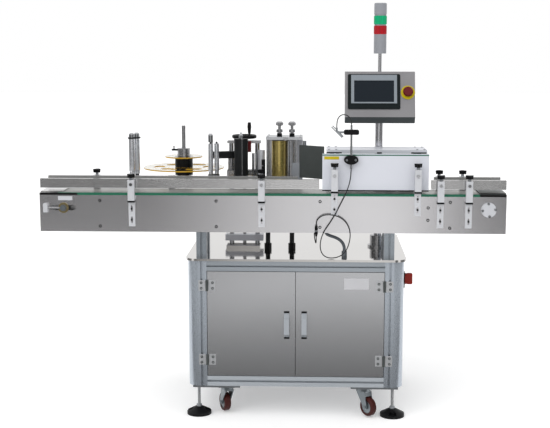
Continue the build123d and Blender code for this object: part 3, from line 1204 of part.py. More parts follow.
def head_base():
    """The head's base plate, in front of and beside the carriage, with the roller bearings."""
    plate = block(CARRIAGE_LEFT, HEAD_RIGHT, HEAD_FRONT, CARRIAGE_FRONT, CARRIAGE_Z, HEAD_BOTTOM_TOP)
    plate += block(CARRIAGE_RIGHT, HEAD_RIGHT, CARRIAGE_FRONT, CARRIAGE_REAR, CARRIAGE_Z, HEAD_BOTTOM_TOP)
    for x, journal in ((TRACTION_X, JOURNAL_R), (PRESS_X, ROLLER_PIN_R)):
        plate -= rod_z(x, TRACTION_Y, CARRIAGE_Z + BEARING_WALL, HEAD_BOTTOM_TOP, journal + SLIDE_GAP)
    return plate


def head_top():
    """The head's top plate, with the roller bearings."""
    top = block(HEAD_LEFT, HEAD_RIGHT, HEAD_FRONT, CARRIAGE_REAR, HEAD_TOP_Z, HEAD_TOP_Z + HEAD_TOP)
    for x, journal in ((TRACTION_X, JOURNAL_R), (PRESS_X, ROLLER_PIN_R)):
        top -= rod_z(x, TRACTION_Y, HEAD_TOP_Z, HEAD_TOP_Z + HEAD_TOP - BEARING_WALL, journal + SLIDE_GAP)
    return top


# Half section of a pressure screw: base, lock ring, neck and flanged head
PRESSURE_PROFILE = ((0, 0), (10.5, 0), (10.5, 14), (6, 14), (6, 16), (13, 18), (13, 29), (6, 31), (6, 43),
                    (14.5, 46), (14.5, 56), (10, 61), (0, 61))


def pressure_knob(x):
    """A turned pressure screw on the top plate."""
    return Pos(x, HEAD_FRONT + PRESSURE_INSET, HEAD_TOP_Z + HEAD_TOP) * turned(PRESSURE_PROFILE)


def front_screw():
    """The clamp screw in the top plate's front edge."""
    z = HEAD_TOP_Z + HEAD_TOP / 2
    neck = rod_y(FRONT_SCREW_X, z, HEAD_FRONT - FRONT_SCREW / 2, HEAD_FRONT, HEAD_TOP / 4)
    return neck + rod_y(FRONT_SCREW_X, z, HEAD_FRONT - FRONT_SCREW, HEAD_FRONT - FRONT_SCREW / 2, HEAD_ROD_R)


def peel_plate():
    """The peel plate on its block, angled in towards the bottles."""
    foot = block(PEEL_FOOT_LEFT, HEAD_RIGHT, HEAD_FRONT, HEAD_FRONT + PEEL_FOOT_DEPTH, HEAD_BOTTOM_TOP,
                 HEAD_BOTTOM_TOP + PEEL_FOOT_HEIGHT)
    run, side = PEEL_TIP[0] - PEEL_START[0], PEEL_TIP[1] - PEEL_START[1]
    length, turn = math.hypot(run, side), math.degrees(math.atan2(side, run))
    half, chamfer, edge = PEEL_THICK / 2, length - PEEL_THICK, PEEL_THICK / 8
    outline = make_face(Polyline((0, -half), (chamfer, -half), (length, -edge), (length, edge), (chamfer, half),
                                 (0, half), close=True))
    plate = Pos(*PEEL_START, PEEL_BOTTOM) * Rot(0, 0, turn) * extrude(outline, PEEL_HEIGHT)
    top = PEEL_BOTTOM + PEEL_HEIGHT
    knob = rod_z(PEEL_START[0] + run * 0.2, PEEL_START[1] + side * 0.2, top, top + PEEL_KNOB, PEEL_KNOB_R)
    return [foot + plate, knob]


def label_eye():
    """The slit sensor that reads the label's edge, on its post."""
    low = HEAD_BOTTOM_TOP + EYE_FOOT
    post = rod_z(EYE_X, HEAD_FRONT + EYE_DEPTH / 2, HEAD_BOTTOM_TOP, low, EYE_FOOT_R)
    left, right = EYE_X - EYE_WIDTH / 2, EYE_X + EYE_WIDTH / 2
    eye = block(left, right, HEAD_FRONT, HEAD_FRONT + EYE_DEPTH, low, low + EYE_HEIGHT)
    slit = low + EYE_HEIGHT * 0.6
    return [post, eye - block(left, EYE_X, HEAD_FRONT, HEAD_FRONT + EYE_DEPTH, slit, slit + EYE_SLIT)]


def guide_pins():
    """The guide rollers' pins, the tie across their tops and a cap over each."""
    ends = [edge for place in GUIDE_PLACES for edge in (Pos(*place) * Circle(GUIDE_TIE_R)).edges()]
    made = Pos(0, 0, GUIDE_TOP + 1) * extrude(make_hull(ends), GUIDE_TIE)
    cap_low, cap_r = GUIDE_TOP + 1 + GUIDE_TIE, GUIDE_ROLLER_R - 1
    for x, y in GUIDE_PLACES:
        made += rod_z(x, y, ARM_TOP, cap_low, ROLLER_PIN_R)
        made += rod_z(x, y, ARM_TOP, GUIDE_BOTTOM - RUN_GAP, ROLLER_PIN_R * 2)
        made += Pos(x, y, cap_low) * turned([(0, 0), (cap_r, 0), (cap_r, GUIDE_CAP * 0.7), (cap_r / 2, GUIDE_CAP),
                                             (0, GUIDE_CAP)])
    return made


def head_frame():
    """All that slides up and down with the carriage and doesn't turn."""
    low = HEAD_BOTTOM_TOP
    back = block(HEAD_LEFT, HEAD_RIGHT, CARRIAGE_REAR - HEAD_WALL, CARRIAGE_REAR, low, HEAD_TOP_Z)
    front_post = rod_z(HEAD_LEFT + 8, HEAD_FRONT + 10, low, HEAD_TOP_Z, HEAD_POST_R)
    guide_rod = rod_z(HEAD_RIGHT - 29, HEAD_FRONT + 24, low, HEAD_TOP_Z, HEAD_ROD_R)
    pillar = rod_z(PILLAR_X, TRACTION_Y + 4, low, low + PILLAR_HEIGHT, PILLAR_R)
    pair = [rod_z(x, PAIR_Y, low, low + PAIR_HEIGHT, PAIR_R) for x in PAIR_XS]
    knobs = [pressure_knob(x) for x in PRESSURE_XS]
    shaft = rod_z(REEL_X, REEL_Y, ARM_TOP, REEL_SHAFT_TOP, REEL_SHAFT_R)
    shaft += rod_z(REEL_X, REEL_Y, ARM_TOP, REEL_HUB_BOTTOM - RUN_GAP, REEL_SHAFT_R * 2)
    spindle = rod_z(SPOOL_X, SPOOL_Y, low, SPOOL_TOP - SPOOL_HEAD, SPINDLE_R)
    spindle += rod_z(SPOOL_X, SPOOL_Y, low, SPOOL_BOTTOM - RUN_GAP, SPINDLE_R * 2)
    return group(*head_arms(), head_base(), head_top(), back, front_post, guide_rod, pillar, *pair, *label_eye(),
                 *knobs, front_screw(), shaft, guide_pins(), spindle, *peel_plate())


def label_reel():
    """The label reel: hub, wide clear disc with windows, small top disc and locking collar."""
    bore = rod_z(0, 0, REEL_HUB_BOTTOM, REEL_SHAFT_TOP, REEL_SHAFT_R + SLIDE_GAP)
    hub = rod_z(0, 0, REEL_HUB_BOTTOM, REEL_HUB_TOP, REEL_HUB_R) - bore
    disc = Circle(REEL_DISC_R) - Circle(REEL_HUB_R + SLIDE_GAP)
    window_r = (REEL_DISC_R + REEL_HUB_R) / 2
    for turn in range(0, 360, 60):
        disc -= Rot(0, 0, turn) * Pos(window_r, 0) * SlotOverall(*REEL_WINDOW, rotation=90)
    wide = Pos(0, 0, REEL_DISC_Z) * extrude(disc, REEL_DISC_THICK)
    narrow = rod_z(0, 0, REEL_HUB_TOP, REEL_HUB_TOP + REEL_DISC_THICK, REEL_TOP_DISC_R) - bore
    collar_low = REEL_HUB_TOP + REEL_DISC_THICK
    collar = rod_z(0, 0, collar_low, collar_low + REEL_COLLAR, REEL_COLLAR_R) - bore
    lever_z = collar_low + REEL_COLLAR * 0.8
    lever = rod_x(0, lever_z, -REEL_COLLAR_R - REEL_LEVER, -REEL_COLLAR_R + 1, REEL_LEVER_R)
    lever += rod_z(-REEL_COLLAR_R - REEL_LEVER * 0.6, 0, lever_z, lever_z + REEL_LEVER * 0.7, REEL_LEVER_R * 0.6)
    return Pos(REEL_X, REEL_Y, 0) * group(hub, wide, narrow, collar + lever)


def rewind_spool():
    """The waste spool: a mandrel on a clear disc, with a pointed tip and a wire clip down its front."""
    disc_top = SPOOL_BOTTOM + SPOOL_DISC_THICK
    core = rod_z(0, 0, disc_top, SPOOL_TOP, SPOOL_R)
    core -= rod_z(0, 0, SPOOL_BOTTOM, SPOOL_TOP - SPOOL_HEAD + 2, SPINDLE_R + SLIDE_GAP)
    core += Pos(0, 0, SPOOL_TOP) * turned([(0, 0), (SPOOL_TIP_R, 0), (SPOOL_TIP_R, SPOOL_TIP / 2), (2, SPOOL_TIP),
                                           (0, SPOOL_TIP)])
    disc = rod_z(0, 0, SPOOL_BOTTOM, disc_top, SPOOL_DISC_R)
    disc -= rod_z(0, 0, SPOOL_BOTTOM, SPOOL_TOP, SPINDLE_R + SLIDE_GAP)
    out, over = SPOOL_R + CLIP_R + RUN_GAP, SPOOL_TOP + CLIP_R
    path = FilletPolyline(Vector(out, 0, disc_top), Vector(out, 0, over), Vector(SPOOL_TIP_R + RUN_GAP, 0, over),
                          radius=CLIP_R * 2)
    clip = sweep(Plane(path @ 0, z_dir=path % 0) * Circle(CLIP_R), path)
    return Pos(SPOOL_X, SPOOL_Y, 0) * group(core, disc, Rot(0, 0, CLIP_TURN) * clip)


def journal_roller(x, y, radius, journal):
    """A roller between the head's plates, with journals in both."""
    drum = rod_z(x, y, HEAD_BOTTOM_TOP + DRUM_LOW_GAP, HEAD_TOP_Z - DRUM_HIGH_GAP, radius)
    wall = BEARING_WALL + RUN_GAP
    return drum + rod_z(x, y, CARRIAGE_Z + wall, HEAD_TOP_Z + HEAD_TOP - wall, journal)


def guide_roller(x, y, low, high, radius):
    """A guide roller, bored for its pin and relieved at its foot."""
    bore, neck = ROLLER_PIN_R + SLIDE_GAP, radius - 1.5
    body = turned([(bore, low), (neck, low), (neck, low + 12), (radius, low + 14), (radius, high), (bore, high)])
    return Pos(x, y, 0) * body


def dancer_arm():
    """The swing arm that tensions the labels: an eye on the left column, a bar, and a yoke with two roller pins."""
    pivot_x, pivot_y = DANCER_PIVOT
    (ax, ay), (bx, by) = DANCER_PLACES
    apart = math.hypot(bx - ax, by - ay)
    back_x = (ax + bx) / 2 - DANCER_SPINE_BACK * (by - ay) / apart
    back_y = (ay + by) / 2 + DANCER_SPINE_BACK * (bx - ax) / apart
    spine_end = (Pos(back_x, back_y) * Circle(DANCER_SPINE_R)).edges()
    eye_end = (Pos(pivot_x, pivot_y) * Circle(DANCER_EYE_R)).edges()
    bar = Pos(0, 0, DANCER_ARM_Z) * extrude(make_hull(eye_end + spine_end), DANCER_ARM)
    bar -= rod_z(pivot_x, pivot_y, DANCER_ARM_Z, DANCER_ARM_Z + DANCER_ARM, COLUMN_R + SLIDE_GAP)
    pin_ends = [edge for place in DANCER_PLACES for edge in (Pos(*place) * Circle(DANCER_ROLLER_R + 1)).edges()]
    lug = extrude(make_hull(pin_ends + list(spine_end)), DANCER_LUG)
    spine = rod_z(back_x, back_y, DANCER_LOW, DANCER_HIGH, DANCER_SPINE_R)
    arm = bar + spine + Pos(0, 0, DANCER_LOW) * lug + Pos(0, 0, DANCER_HIGH - DANCER_LUG) * lug
    for x, y in DANCER_PLACES:
        arm += rod_z(x, y, DANCER_LOW, DANCER_HIGH, ROLLER_PIN_R)
    cap = turned([(0, 0), (DANCER_ROLLER_R, 0), (DANCER_ROLLER_R, DANCER_CAP * 0.8),
                  (DANCER_ROLLER_R * 0.6, DANCER_CAP), (0, DANCER_CAP)])
    return arm + Pos(ax, ay, DANCER_HIGH) * cap


def build():
    """Every sub-part by name, in the building frame."""
    nodes = {
        "cabinet_frame": cabinet_frame(),
        "cabinet_panels": cabinet_panels(),
        "deck_plate": deck_plate(),
        "frame_fittings": frame_fittings(),
        "control_gear": control_gear(),
        "conveyor_posts": conveyor_posts(),
        "conveyor_frame": conveyor_frame(),
        "conveyor_belt": conveyor_belt(),
        "conveyor_trim": group(wear_strips(), end_fittings()),
        "clamp_brackets": clamp_brackets(),
        "clamp_knobs": clamp_knobs(),
        "conduits": conduits(),
        "drive_motor": drive_motor(),
        "pole_socket": pole_socket(),
        "head_pedestal": head_pedestal(),
        "wrap_frame": wrap_frame(),
        "wrap_belt": wrap_belt(),
        "left_door": left_door(),
        "right_door": mirror_x(left_door(), CABINET_MID_X),
        "isolator_handle": isolator_handle(),
        "hmi_pole": hmi_pole(),
        "hmi_box": hmi_box(),
        "tower_light": tower_light(),
        "stop_button": stop_button(),
        "front_rail_left": guide_rail(FRONT_LEFT_RAIL, FRONT_LEFT_RODS),
        "front_rail_right": guide_rail(FRONT_RIGHT_RAIL, FRONT_RIGHT_RODS),
        "rear_rail_left": mirror_y(guide_rail(REAR_LEFT_RAIL, REAR_LEFT_RODS), CONVEYOR_WIDTH / 2),
        "rear_rail_right": mirror_y(guide_rail(REAR_RIGHT_RAIL, REAR_RIGHT_RODS), CONVEYOR_WIDTH / 2),
        "wrap_board": wrap_board(),
        "sensor_stand": sensor_stand(),
        "sensor_lead_upper": tube(UPPER_LEAD, LEAD_R),
        "sensor_lead_lower": sensor_lead_lower(),
        "lead_connector": lead_connector(),
        "drive_roller": drive_roller(),
        "idler_roller": idler_roller(),
        "wrap_roller_left": wrap_roller(WRAP_ROLLER_XS[0]),
        "wrap_roller_right": wrap_roller(WRAP_ROLLER_XS[1]),
        "head_frame": head_frame(),
        "handwheel": handwheel(),
        "label_reel": label_reel(),
        "rewind_spool": rewind_spool(),
        "traction_roller": journal_roller(TRACTION_X, TRACTION_Y, TRACTION_R, JOURNAL_R),
        "press_roller": journal_roller(PRESS_X, TRACTION_Y, PRESS_R, ROLLER_PIN_R),
        "dancer_arm": dancer_arm(),
    }
    for number, (x, y) in enumerate(GUIDE_PLACES, 1):
        nodes[f"guide_roller_{number}"] = guide_roller(x, y, GUIDE_BOTTOM, GUIDE_TOP, GUIDE_ROLLER_R)
    for number, (x, y) in enumerate(DANCER_PLACES, 1):
        low, high = DANCER_LOW + DANCER_LUG + 1, DANCER_HIGH - DANCER_LUG - 1
        nodes[f"dancer_roller_{number}"] = guide_roller(x, y, low, high, DANCER_ROLLER_R)
    for number, (x, y) in enumerate(FOOT_PLACES, 1):
        nodes[f"foot_{number}"] = Pos(x, y, 0) * levelling_foot(90 * (number % 2 == 0))
    for number, ((x, y), yaw) in enumerate(zip(CASTER_PLACES, CASTER_YAWS), 1):
        place = Pos(x, y, 0) * Rot(0, 0, yaw)
        nodes[f"caster_fork_{number}"] = place * caster_fork()
        nodes[f"caster_wheel_{number}"] = place * caster_wheel()
    return nodes


CORD_NODES = ("sensor_lead_upper", "sensor_lead_lower", "lead_connector")


def centre_shift(nodes):
    """The move that puts the origin under the middle of the machine."""
    boxes = [piece.bounding_box() for name, piece in nodes.items() if name not in CORD_NODES]
    low_x, high_x = min(b.min.X for b in boxes), max(b.max.X for b in boxes)
    low_y, high_y = min(b.min.Y for b in boxes), max(b.max.Y for b in boxes)
    return Vector(-(low_x + high_x) / 2, -(low_y + high_y) / 2, -min(b.min.Z for b in boxes))


def main():
    """Writes each sub-part to its own file."""
    os.makedirs("parts", exist_ok=True)
    nodes = build()
    shift = centre_shift(nodes)
    print("origin moved by", shift, "sub-parts", len(nodes))
    for name, route in (("upper lead", UPPER_LEAD), ("lower lead", LOWER_LEAD), ("lead tail", LEAD_TAIL)):
        print(name, "bend radii", [round(radius) for radius in tube_path(route)[1]])
    for name, piece in nodes.items():
        export_step(Pos(*shift) * piece, f"parts/{name}.step")


if __name__ == "__main__":
    main()
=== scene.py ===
"""Looks of the bottle labelling machine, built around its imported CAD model. Metres, floor at Z = 0."""
import math

import bpy
from mathutils import Matrix, Vector


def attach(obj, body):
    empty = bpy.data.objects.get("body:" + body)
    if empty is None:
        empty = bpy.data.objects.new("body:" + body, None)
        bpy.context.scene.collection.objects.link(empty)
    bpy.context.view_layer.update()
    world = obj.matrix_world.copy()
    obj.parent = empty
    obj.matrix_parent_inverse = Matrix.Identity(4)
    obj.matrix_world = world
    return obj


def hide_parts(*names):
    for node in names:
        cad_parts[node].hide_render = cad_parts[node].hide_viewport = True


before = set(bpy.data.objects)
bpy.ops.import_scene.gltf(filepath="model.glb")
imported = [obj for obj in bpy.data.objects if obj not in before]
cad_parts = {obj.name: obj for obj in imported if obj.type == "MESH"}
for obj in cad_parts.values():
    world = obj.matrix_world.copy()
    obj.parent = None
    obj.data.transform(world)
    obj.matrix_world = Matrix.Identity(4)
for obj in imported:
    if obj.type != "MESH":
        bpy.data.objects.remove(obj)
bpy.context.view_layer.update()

# Places are written in the drawing's millimetres, where Y = 0 is the conveyor's front face
MM = 1000
REAR_SHIFT = 270.25


def placed(x, y, z):
    """A drawing point in the model's metres."""
    return Vector((x / MM, (y - REAR_SHIFT) / MM, z / MM))


def drawing(point):
    """A model point in the drawing's millimetres."""
    return point.x * MM, point.y * MM + REAR_SHIFT, point.z * MM


def new_object(name, data):
    """An object of the scene."""
    made = bpy.data.objects.new(name, data)
    bpy.context.scene.collection.objects.link(made)
    return made


# Camera of the photograph
CAMERA_PLACE = (185.1, -4234.1, 1443.7)
CAMERA_RIGHT = (0.99919, 0.04024, 0.0)
CAMERA_UP = (-0.00599, 0.14873, 0.98886)
CAMERA_AHEAD = (-0.03979, 0.98806, -0.14885)
LENS_MM = 72.715
SENSOR_MM = 36.0
VIEW_DEPTH = 100.0

camera_data = bpy.data.cameras.new("camera")
camera_data.sensor_fit = "HORIZONTAL"
camera_data.sensor_width = SENSOR_MM
camera_data.lens = LENS_MM
camera_data.clip_end = VIEW_DEPTH
camera = new_object("camera", camera_data)
camera_turn = Matrix((CAMERA_RIGHT, CAMERA_UP, [-part for part in CAMERA_AHEAD])).transposed()
camera.matrix_world = Matrix.Translation(placed(*CAMERA_PLACE)) @ camera_turn.to_4x4()
bpy.context.scene.camera = camera

# The sensor's lead, along the drawing's routes
LEAD_DIAMETER = 0.004
LEAD_ROUNDNESS = 5
LEAD_ORDER = 3
LEAD_STEPS = 12
UPPER_LEAD = ((250, 4, 1139), (250, 4, 1153), (252, 4, 1169), (259, 4, 1182), (271, 4, 1189), (285, 4, 1188),
              (297, 4, 1180), (306, 4, 1167), (306, 4, 1149))
LOWER_LEAD = ((306, 4, 979.7), (305, 3, 955), (301, -1, 930), (293, -6, 904), (281, -9, 876),
              (267, -9.5, 848), (252, -9.5, 818), (236, -9.6, 789), (219, -9.8, 763), (203, -10, 739),
              (193, -11, 714), (189, -12, 690), (191, -13, 667), (200, -13.5, 649), (216, -14, 639),
              (236, -14.4, 637), (257, -15, 641), (276, -15.4, 651), (290, -16, 668), (299, -16, 690),
              (304, -16.2, 714), (304.5, -16, 738), (298, -15.6, 761), (285, -15.2, 781), (266, -15, 796),
              (244, -15, 804), (221, -14.8, 807), (200, -14.5, 804), (184, -14, 794), (174, -13.2, 780),
              (174, -13.2, 764))
LEAD_TAIL = ((174, -13.2, 722), (174, -13.2, 706), (173.5, -5, 696), (172, 8, 692), (170, 23, 697),
             (167.5, 36, 708), (166, 45, 722), (166, 45, 740))


def lead(name, route):
    """A round lead along a route: each point's own radius is the lead's."""
    curve = bpy.data.curves.new(name, "CURVE")
    curve.dimensions = "3D"
    curve.bevel_depth = 1.0
    curve.bevel_resolution = LEAD_ROUNDNESS
    curve.use_fill_caps = True
    spline = curve.splines.new("NURBS")
    spline.points.add(len(route) - 1)
    for point, place in zip(spline.points, route):
        point.co = (*placed(*place), 1.0)
        point.radius = LEAD_DIAMETER / 2
    spline.order_u = LEAD_ORDER
    spline.use_endpoint_u = True
    spline.resolution_u = LEAD_STEPS
    return new_object(name, curve)


upper_lead = lead("lead_sensor_to_stand", UPPER_LEAD)
lower_lead = lead("lead_stand_to_connector", LOWER_LEAD)
lead_tail = lead("lead_connector_to_box", LEAD_TAIL)
for piece, body, node in ((upper_lead, "board", "sensor_lead_upper"),
                          (lower_lead, "machine", "sensor_lead_lower"),
                          (lead_tail, "machine", "sensor_lead_lower")):
    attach(piece, body)
    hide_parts(node)


# Finishes. A wave texture of scale 1 turns 20 radians a metre
WAVE_TURN = 2 * math.pi * MM / 20
MIX_SHARE, MIX_FIRST, MIX_SECOND, MIX_RESULT = 0, 6, 7, 2
EVEN = (1, 1, 1)


class Finish:
    """A material under construction: its nodes read the piece's own coordinates."""

    def __init__(self, name):
        self.material = bpy.data.materials.new(name)
        self.material.use_nodes = True
        self.tree = self.material.node_tree
        self.shader = self.tree.nodes["Principled BSDF"]
        self.places = self.tree.nodes.new("ShaderNodeTexCoord").outputs

    def node(self, kind, settings=None, **values):
        """A node with its sockets set by name, and linked where the value is a socket."""
        made = self.tree.nodes.new(kind)
        for key, value in (settings or {}).items():
            setattr(made, key, value)
        for key, value in values.items():
            self.put(made.inputs[key.replace("_", " ")], value)
        return made

    def put(self, socket, value):
        """Sets a socket, or links it."""
        if isinstance(value, bpy.types.NodeSocket):
            self.tree.links.new(value, socket)
        else:
            socket.default_value = value

    def shade(self, **values):
        """Sets or links the shader's own sockets by name."""
        for key, value in values.items():
            self.put(self.shader.inputs[key.replace("_", " ")], value)

    def stretched(self, scale):
        """The piece's coordinates, stretched along its axes."""
        mapping = self.node("ShaderNodeMapping", Vector=self.places["Object"])
        mapping.inputs["Scale"].default_value = scale
        return mapping.outputs["Vector"]

    def noise(self, size, detail=4.0, stretch=EVEN):
        """Noise whose grains are size millimetres across."""
        made = self.node("ShaderNodeTexNoise", Vector=self.stretched(stretch), Scale=MM / size, Detail=detail)
        return made.outputs["Fac"]

    def spread(self, value, low, high, start=0.3, end=0.7):
        """A value brought from its range, start to end, to another."""
        made = self.node("ShaderNodeMapRange", Value=value, From_Min=start, From_Max=end, To_Min=low,
                         To_Max=high)
        return made.outputs["Result"]

    def math(self, operation, first, second):
        """Two values combined by an operation."""
        made = self.node("ShaderNodeMath", {"operation": operation})
        self.put(made.inputs[0], first)
        self.put(made.inputs[1], second)
        return made.outputs[0]

    def blend(self, amount, first, second):
        """A mix of two colours."""
        made = self.node("ShaderNodeMix", {"data_type": "RGBA"})
        self.put(made.inputs[MIX_SHARE], amount)
        for socket, colour in ((MIX_FIRST, first), (MIX_SECOND, second)):
            linked = isinstance(colour, bpy.types.NodeSocket)
            self.put(made.inputs[socket], colour if linked else (*colour, 1.0))
        return made.outputs[MIX_RESULT]

    def relief(self, height, depth, under=None):
        """A bump of depth millimetres."""
        made = self.node("ShaderNodeBump", Height=height, Strength=1.0, Distance=depth / MM)
        if under is not None:
            self.put(made.inputs["Normal"], under)
        return made.outputs["Normal"]

    def bands(self, pitch, axis):
        """Even ridges of a pitch in millimetres along an axis."""
        made = self.node("ShaderNodeTexWave", {"wave_type": "BANDS", "bands_direction": axis},
                         Vector=self.stretched(EVEN), Scale=WAVE_TURN / pitch)
        return made.outputs["Fac"]


def toned(colour, factor):
    """A lighter or darker tone of a colour."""
    return tuple(min(1.0, part * factor) for part in colour)


FINE_DETAIL, SLOW_DETAIL = 5.0, 3.0
WORN_LIGHT, PATCH_DARK = 0.6, 1.2
PATCH_SHARE = 0.75
MOTTLE_LOW, MOTTLE_HIGH = 0.1, 0.45


def surface(name, colour, metal, rough, grain, tone, patch, brush=EVEN, depth=0.02, play=0.08, sheen=0.5,
            ridge=None):
    """A finish with fine grain, slow changes of tone, and gloss that varies with both."""
    made = Finish(name)
    fine = made.noise(grain, FINE_DETAIL, brush)
    slow = made.noise(patch, SLOW_DETAIL)
    worn = made.blend(made.spread(fine, 0.0, 1.0), toned(colour, 1 - tone),
                      toned(colour, 1 + tone * WORN_LIGHT))
    mixed = made.blend(made.spread(slow, 0.0, PATCH_SHARE), worn, toned(colour, 1 - tone * PATCH_DARK))
    mottle = made.math("MULTIPLY", fine, slow)
    normal = made.relief(fine, depth)
    if ridge:
        pitch, axis, height = ridge
        normal = made.relief(made.bands(pitch, axis), height, under=normal)
    made.shade(Base_Color=mixed, Metallic=metal, Specular_IOR_Level=sheen, Normal=normal,
               Roughness=made.spread(mottle, rough - play, rough + play, MOTTLE_LOW, MOTTLE_HIGH))
    return made.material


BRUSH_X = (0.03, 1, 1)
BRUSH_Z = (1, 1, 0.03)
TURNED = (0.5, 0.5, 1)
LATHED = (0.4, 0.4, 1)
DRAWN = (1, 1, 0.2)
PROFILE = {"grain": 0.5, "depth": 0.001, "tone": 0.03, "patch": 200, "play": 0.03}
SHEET = {"grain": 0.7, "brush": BRUSH_X, "depth": 0.0015, "play": 0.03}
CAST = {"grain": 1.2, "tone": 0.14, "patch": 18}
ROUND_BAR = {"grain": 0.4, "brush": TURNED, "depth": 0.001, "tone": 0.03, "patch": 40, "play": 0.04}

# Bare metals
anodised_profile = surface("anodised_profile", (0.48, 0.525, 0.58), 0.8, 0.28, brush=BRUSH_Z, **PROFILE)
post_profile = surface("post_profile", (0.32, 0.355, 0.39), 0.8, 0.28, brush=BRUSH_Z, **PROFILE)
anodised_rail = surface("anodised_rail", (0.43, 0.47, 0.51), 0.85, 0.32, brush=BRUSH_X, **PROFILE)
lower_rail = surface("lower_rail", (0.44, 0.475, 0.51), 0.3, 0.36, brush=BRUSH_X, **PROFILE)
door_sheet = surface("door_sheet", (0.55, 0.555, 0.57), 0.95, 0.24, tone=0.06, patch=380, **SHEET)
side_sheet = surface("side_sheet", (0.73, 0.72, 0.735), 0.95, 0.21, tone=0.05, patch=420, **SHEET)
panel_sheet = surface("panel_sheet", (0.285, 0.28, 0.29), 0.85, 0.38, grain=0.5, tone=0.12, patch=120,
                      brush=BRUSH_Z)
# Painted shade: a darker finish for the operator panel's faces that look down, standing in for the shade
# beneath it
panel_chin_painted_shade = surface("panel_chin_painted_shade", (0.065, 0.076, 0.076), 0.3, 0.42, grain=0.5, tone=0.10, patch=60,
                     brush=BRUSH_X, sheen=0.3)
deck_polish = surface("deck_polish", (0.60, 0.585, 0.57), 1.0, 0.09, grain=0.8, tone=0.05, patch=260,
                      brush=BRUSH_X, depth=0.004, play=0.04)
zinc = surface("zinc", (0.36, 0.38, 0.40), 0.9, 0.34, **CAST)
fork_zinc = surface("fork_zinc", (0.27, 0.30, 0.32), 0.9, 0.34, **CAST)
threaded_zinc = surface("threaded_zinc", (0.52, 0.53, 0.54), 0.9, 0.32, grain=0.6, tone=0.12, patch=18,
                        depth=0.01, ridge=(1.75, "Z", 0.5))
galvanised = surface("galvanised", (0.46, 0.48, 0.49), 0.8, 0.42, grain=6.0, tone=0.16, patch=14, depth=0.01)
hinge_plate = surface("hinge_plate", (0.50, 0.51, 0.525), 0.5, 0.36, grain=0.8, tone=0.08, patch=14,
                      brush=BRUSH_Z, depth=0.01)
bright_bar = surface("bright_bar", (0.62, 0.63, 0.66), 0.3, 0.38, grain=0.5, tone=0.05, patch=60,
                     brush=BRUSH_Z, depth=0.012)
rail_aluminium = surface("rail_aluminium", (0.63, 0.625, 0.625), 0.9, 0.24, grain=0.6, tone=0.05, patch=260,
                         brush=BRUSH_X, depth=0.0015)
polished_steel = surface("polished_steel", (0.74, 0.74, 0.765), 1.0, 0.16, **ROUND_BAR)
roller_steel = surface("roller_steel", (0.82, 0.835, 0.87), 0.9, 0.25, **ROUND_BAR)
chrome = surface("chrome", (0.50, 0.51, 0.525), 1.0, 0.16, grain=0.4, tone=0.08, patch=40, brush=TURNED,
                 depth=0.004, play=0.05)
turned_steel = surface("turned_steel", (0.44, 0.44, 0.45), 0.95, 0.28, grain=0.35, tone=0.10, patch=30,
                       brush=LATHED, depth=0.01)
gold_anodised = surface("gold_anodised", (0.60, 0.47, 0.16), 0.9, 0.30, grain=0.4, tone=0.10, patch=50,
                        brush=DRAWN, depth=0.004)
brass = surface("brass", (0.36, 0.29, 0.15), 0.9, 0.36, grain=0.6, tone=0.18, patch=16)

# Painted and coated metals
black_metal = surface("black_metal", (0.011, 0.012, 0.013), 0.0, 0.46, grain=0.6, tone=0.22, patch=50,
                      brush=BRUSH_Z, sheen=0.22)
dark_sheet = surface("dark_sheet", (0.088, 0.098, 0.096), 0.4, 0.42, grain=0.6, tone=0.14, patch=70,
                     brush=BRUSH_Z, depth=0.015, sheen=0.4)
grey_paint = surface("grey_paint", (0.27, 0.285, 0.31), 0.2, 0.40, grain=1.0, tone=0.08, patch=60)
handle_grey = surface("handle_grey", (0.36, 0.385, 0.415), 0.1, 0.40, grain=1.0, tone=0.06, patch=60)
bezel_silver = surface("bezel_silver", (0.24, 0.27, 0.30), 0.5, 0.38, grain=0.6, tone=0.06, patch=40,
                       brush=BRUSH_X, depth=0.01)
motor_paint = surface("motor_paint", (0.055, 0.062, 0.07), 0.2, 0.40, grain=1.0, tone=0.15, patch=40,
                      depth=0.04)

# Plastics and rubber
black_plastic = surface("black_plastic", (0.006, 0.006, 0.007), 0.0, 0.44, grain=0.8, tone=0.25, patch=20,
                        depth=0.03, sheen=0.14)
bezel_black = surface("bezel_black", (0.008, 0.012, 0.013), 0.0, 0.36, grain=0.8, tone=0.25, patch=20,
                      sheen=0.1)
grey_strip = surface("grey_strip", (0.24, 0.24, 0.235), 0.0, 0.42, grain=0.9, tone=0.08, patch=60,
                     brush=BRUSH_X, sheen=0.3)
green_strip = surface("green_strip", (0.010, 0.13, 0.072), 0.0, 0.44, grain=1.0, tone=0.12, patch=90,
                      brush=BRUSH_X, sheen=0.3)
white_board = surface("white_board", (0.62, 0.635, 0.69), 0.0, 0.32, grain=0.9, tone=0.025, patch=160,
                      depth=0.008, play=0.05, sheen=0.35)
white_plastic = surface("white_plastic", (0.53, 0.54, 0.57), 0.0, 0.42, grain=0.8, tone=0.04, patch=60,
                        brush=BRUSH_X, sheen=0.3)
pale_plate = surface("pale_plate", (0.50, 0.50, 0.52), 0.0, 0.40, grain=0.8, tone=0.04, patch=40,
                     brush=BRUSH_X, depth=0.01, sheen=0.3)
red_moulded = surface("red_moulded", (0.115, 0.004, 0.006), 0.0, 0.36, grain=0.9, tone=0.12, patch=20,
                      depth=0.012, play=0.06, sheen=0.25)
isolator_red = surface("isolator_red", (0.28, 0.016, 0.008), 0.0, 0.36, grain=0.9, tone=0.12, patch=20,
                       depth=0.012, sheen=0.25)
wheel_red = surface("wheel_red", (0.055, 0.010, 0.008), 0.0, 0.44, grain=1.0, tone=0.22, patch=18, depth=0.03,
                    sheen=0.2)
yellow_disc = surface("yellow_disc", (0.54, 0.42, 0.004), 0.0, 0.38, grain=0.9, tone=0.08, patch=20,
                      depth=0.01, sheen=0.25)
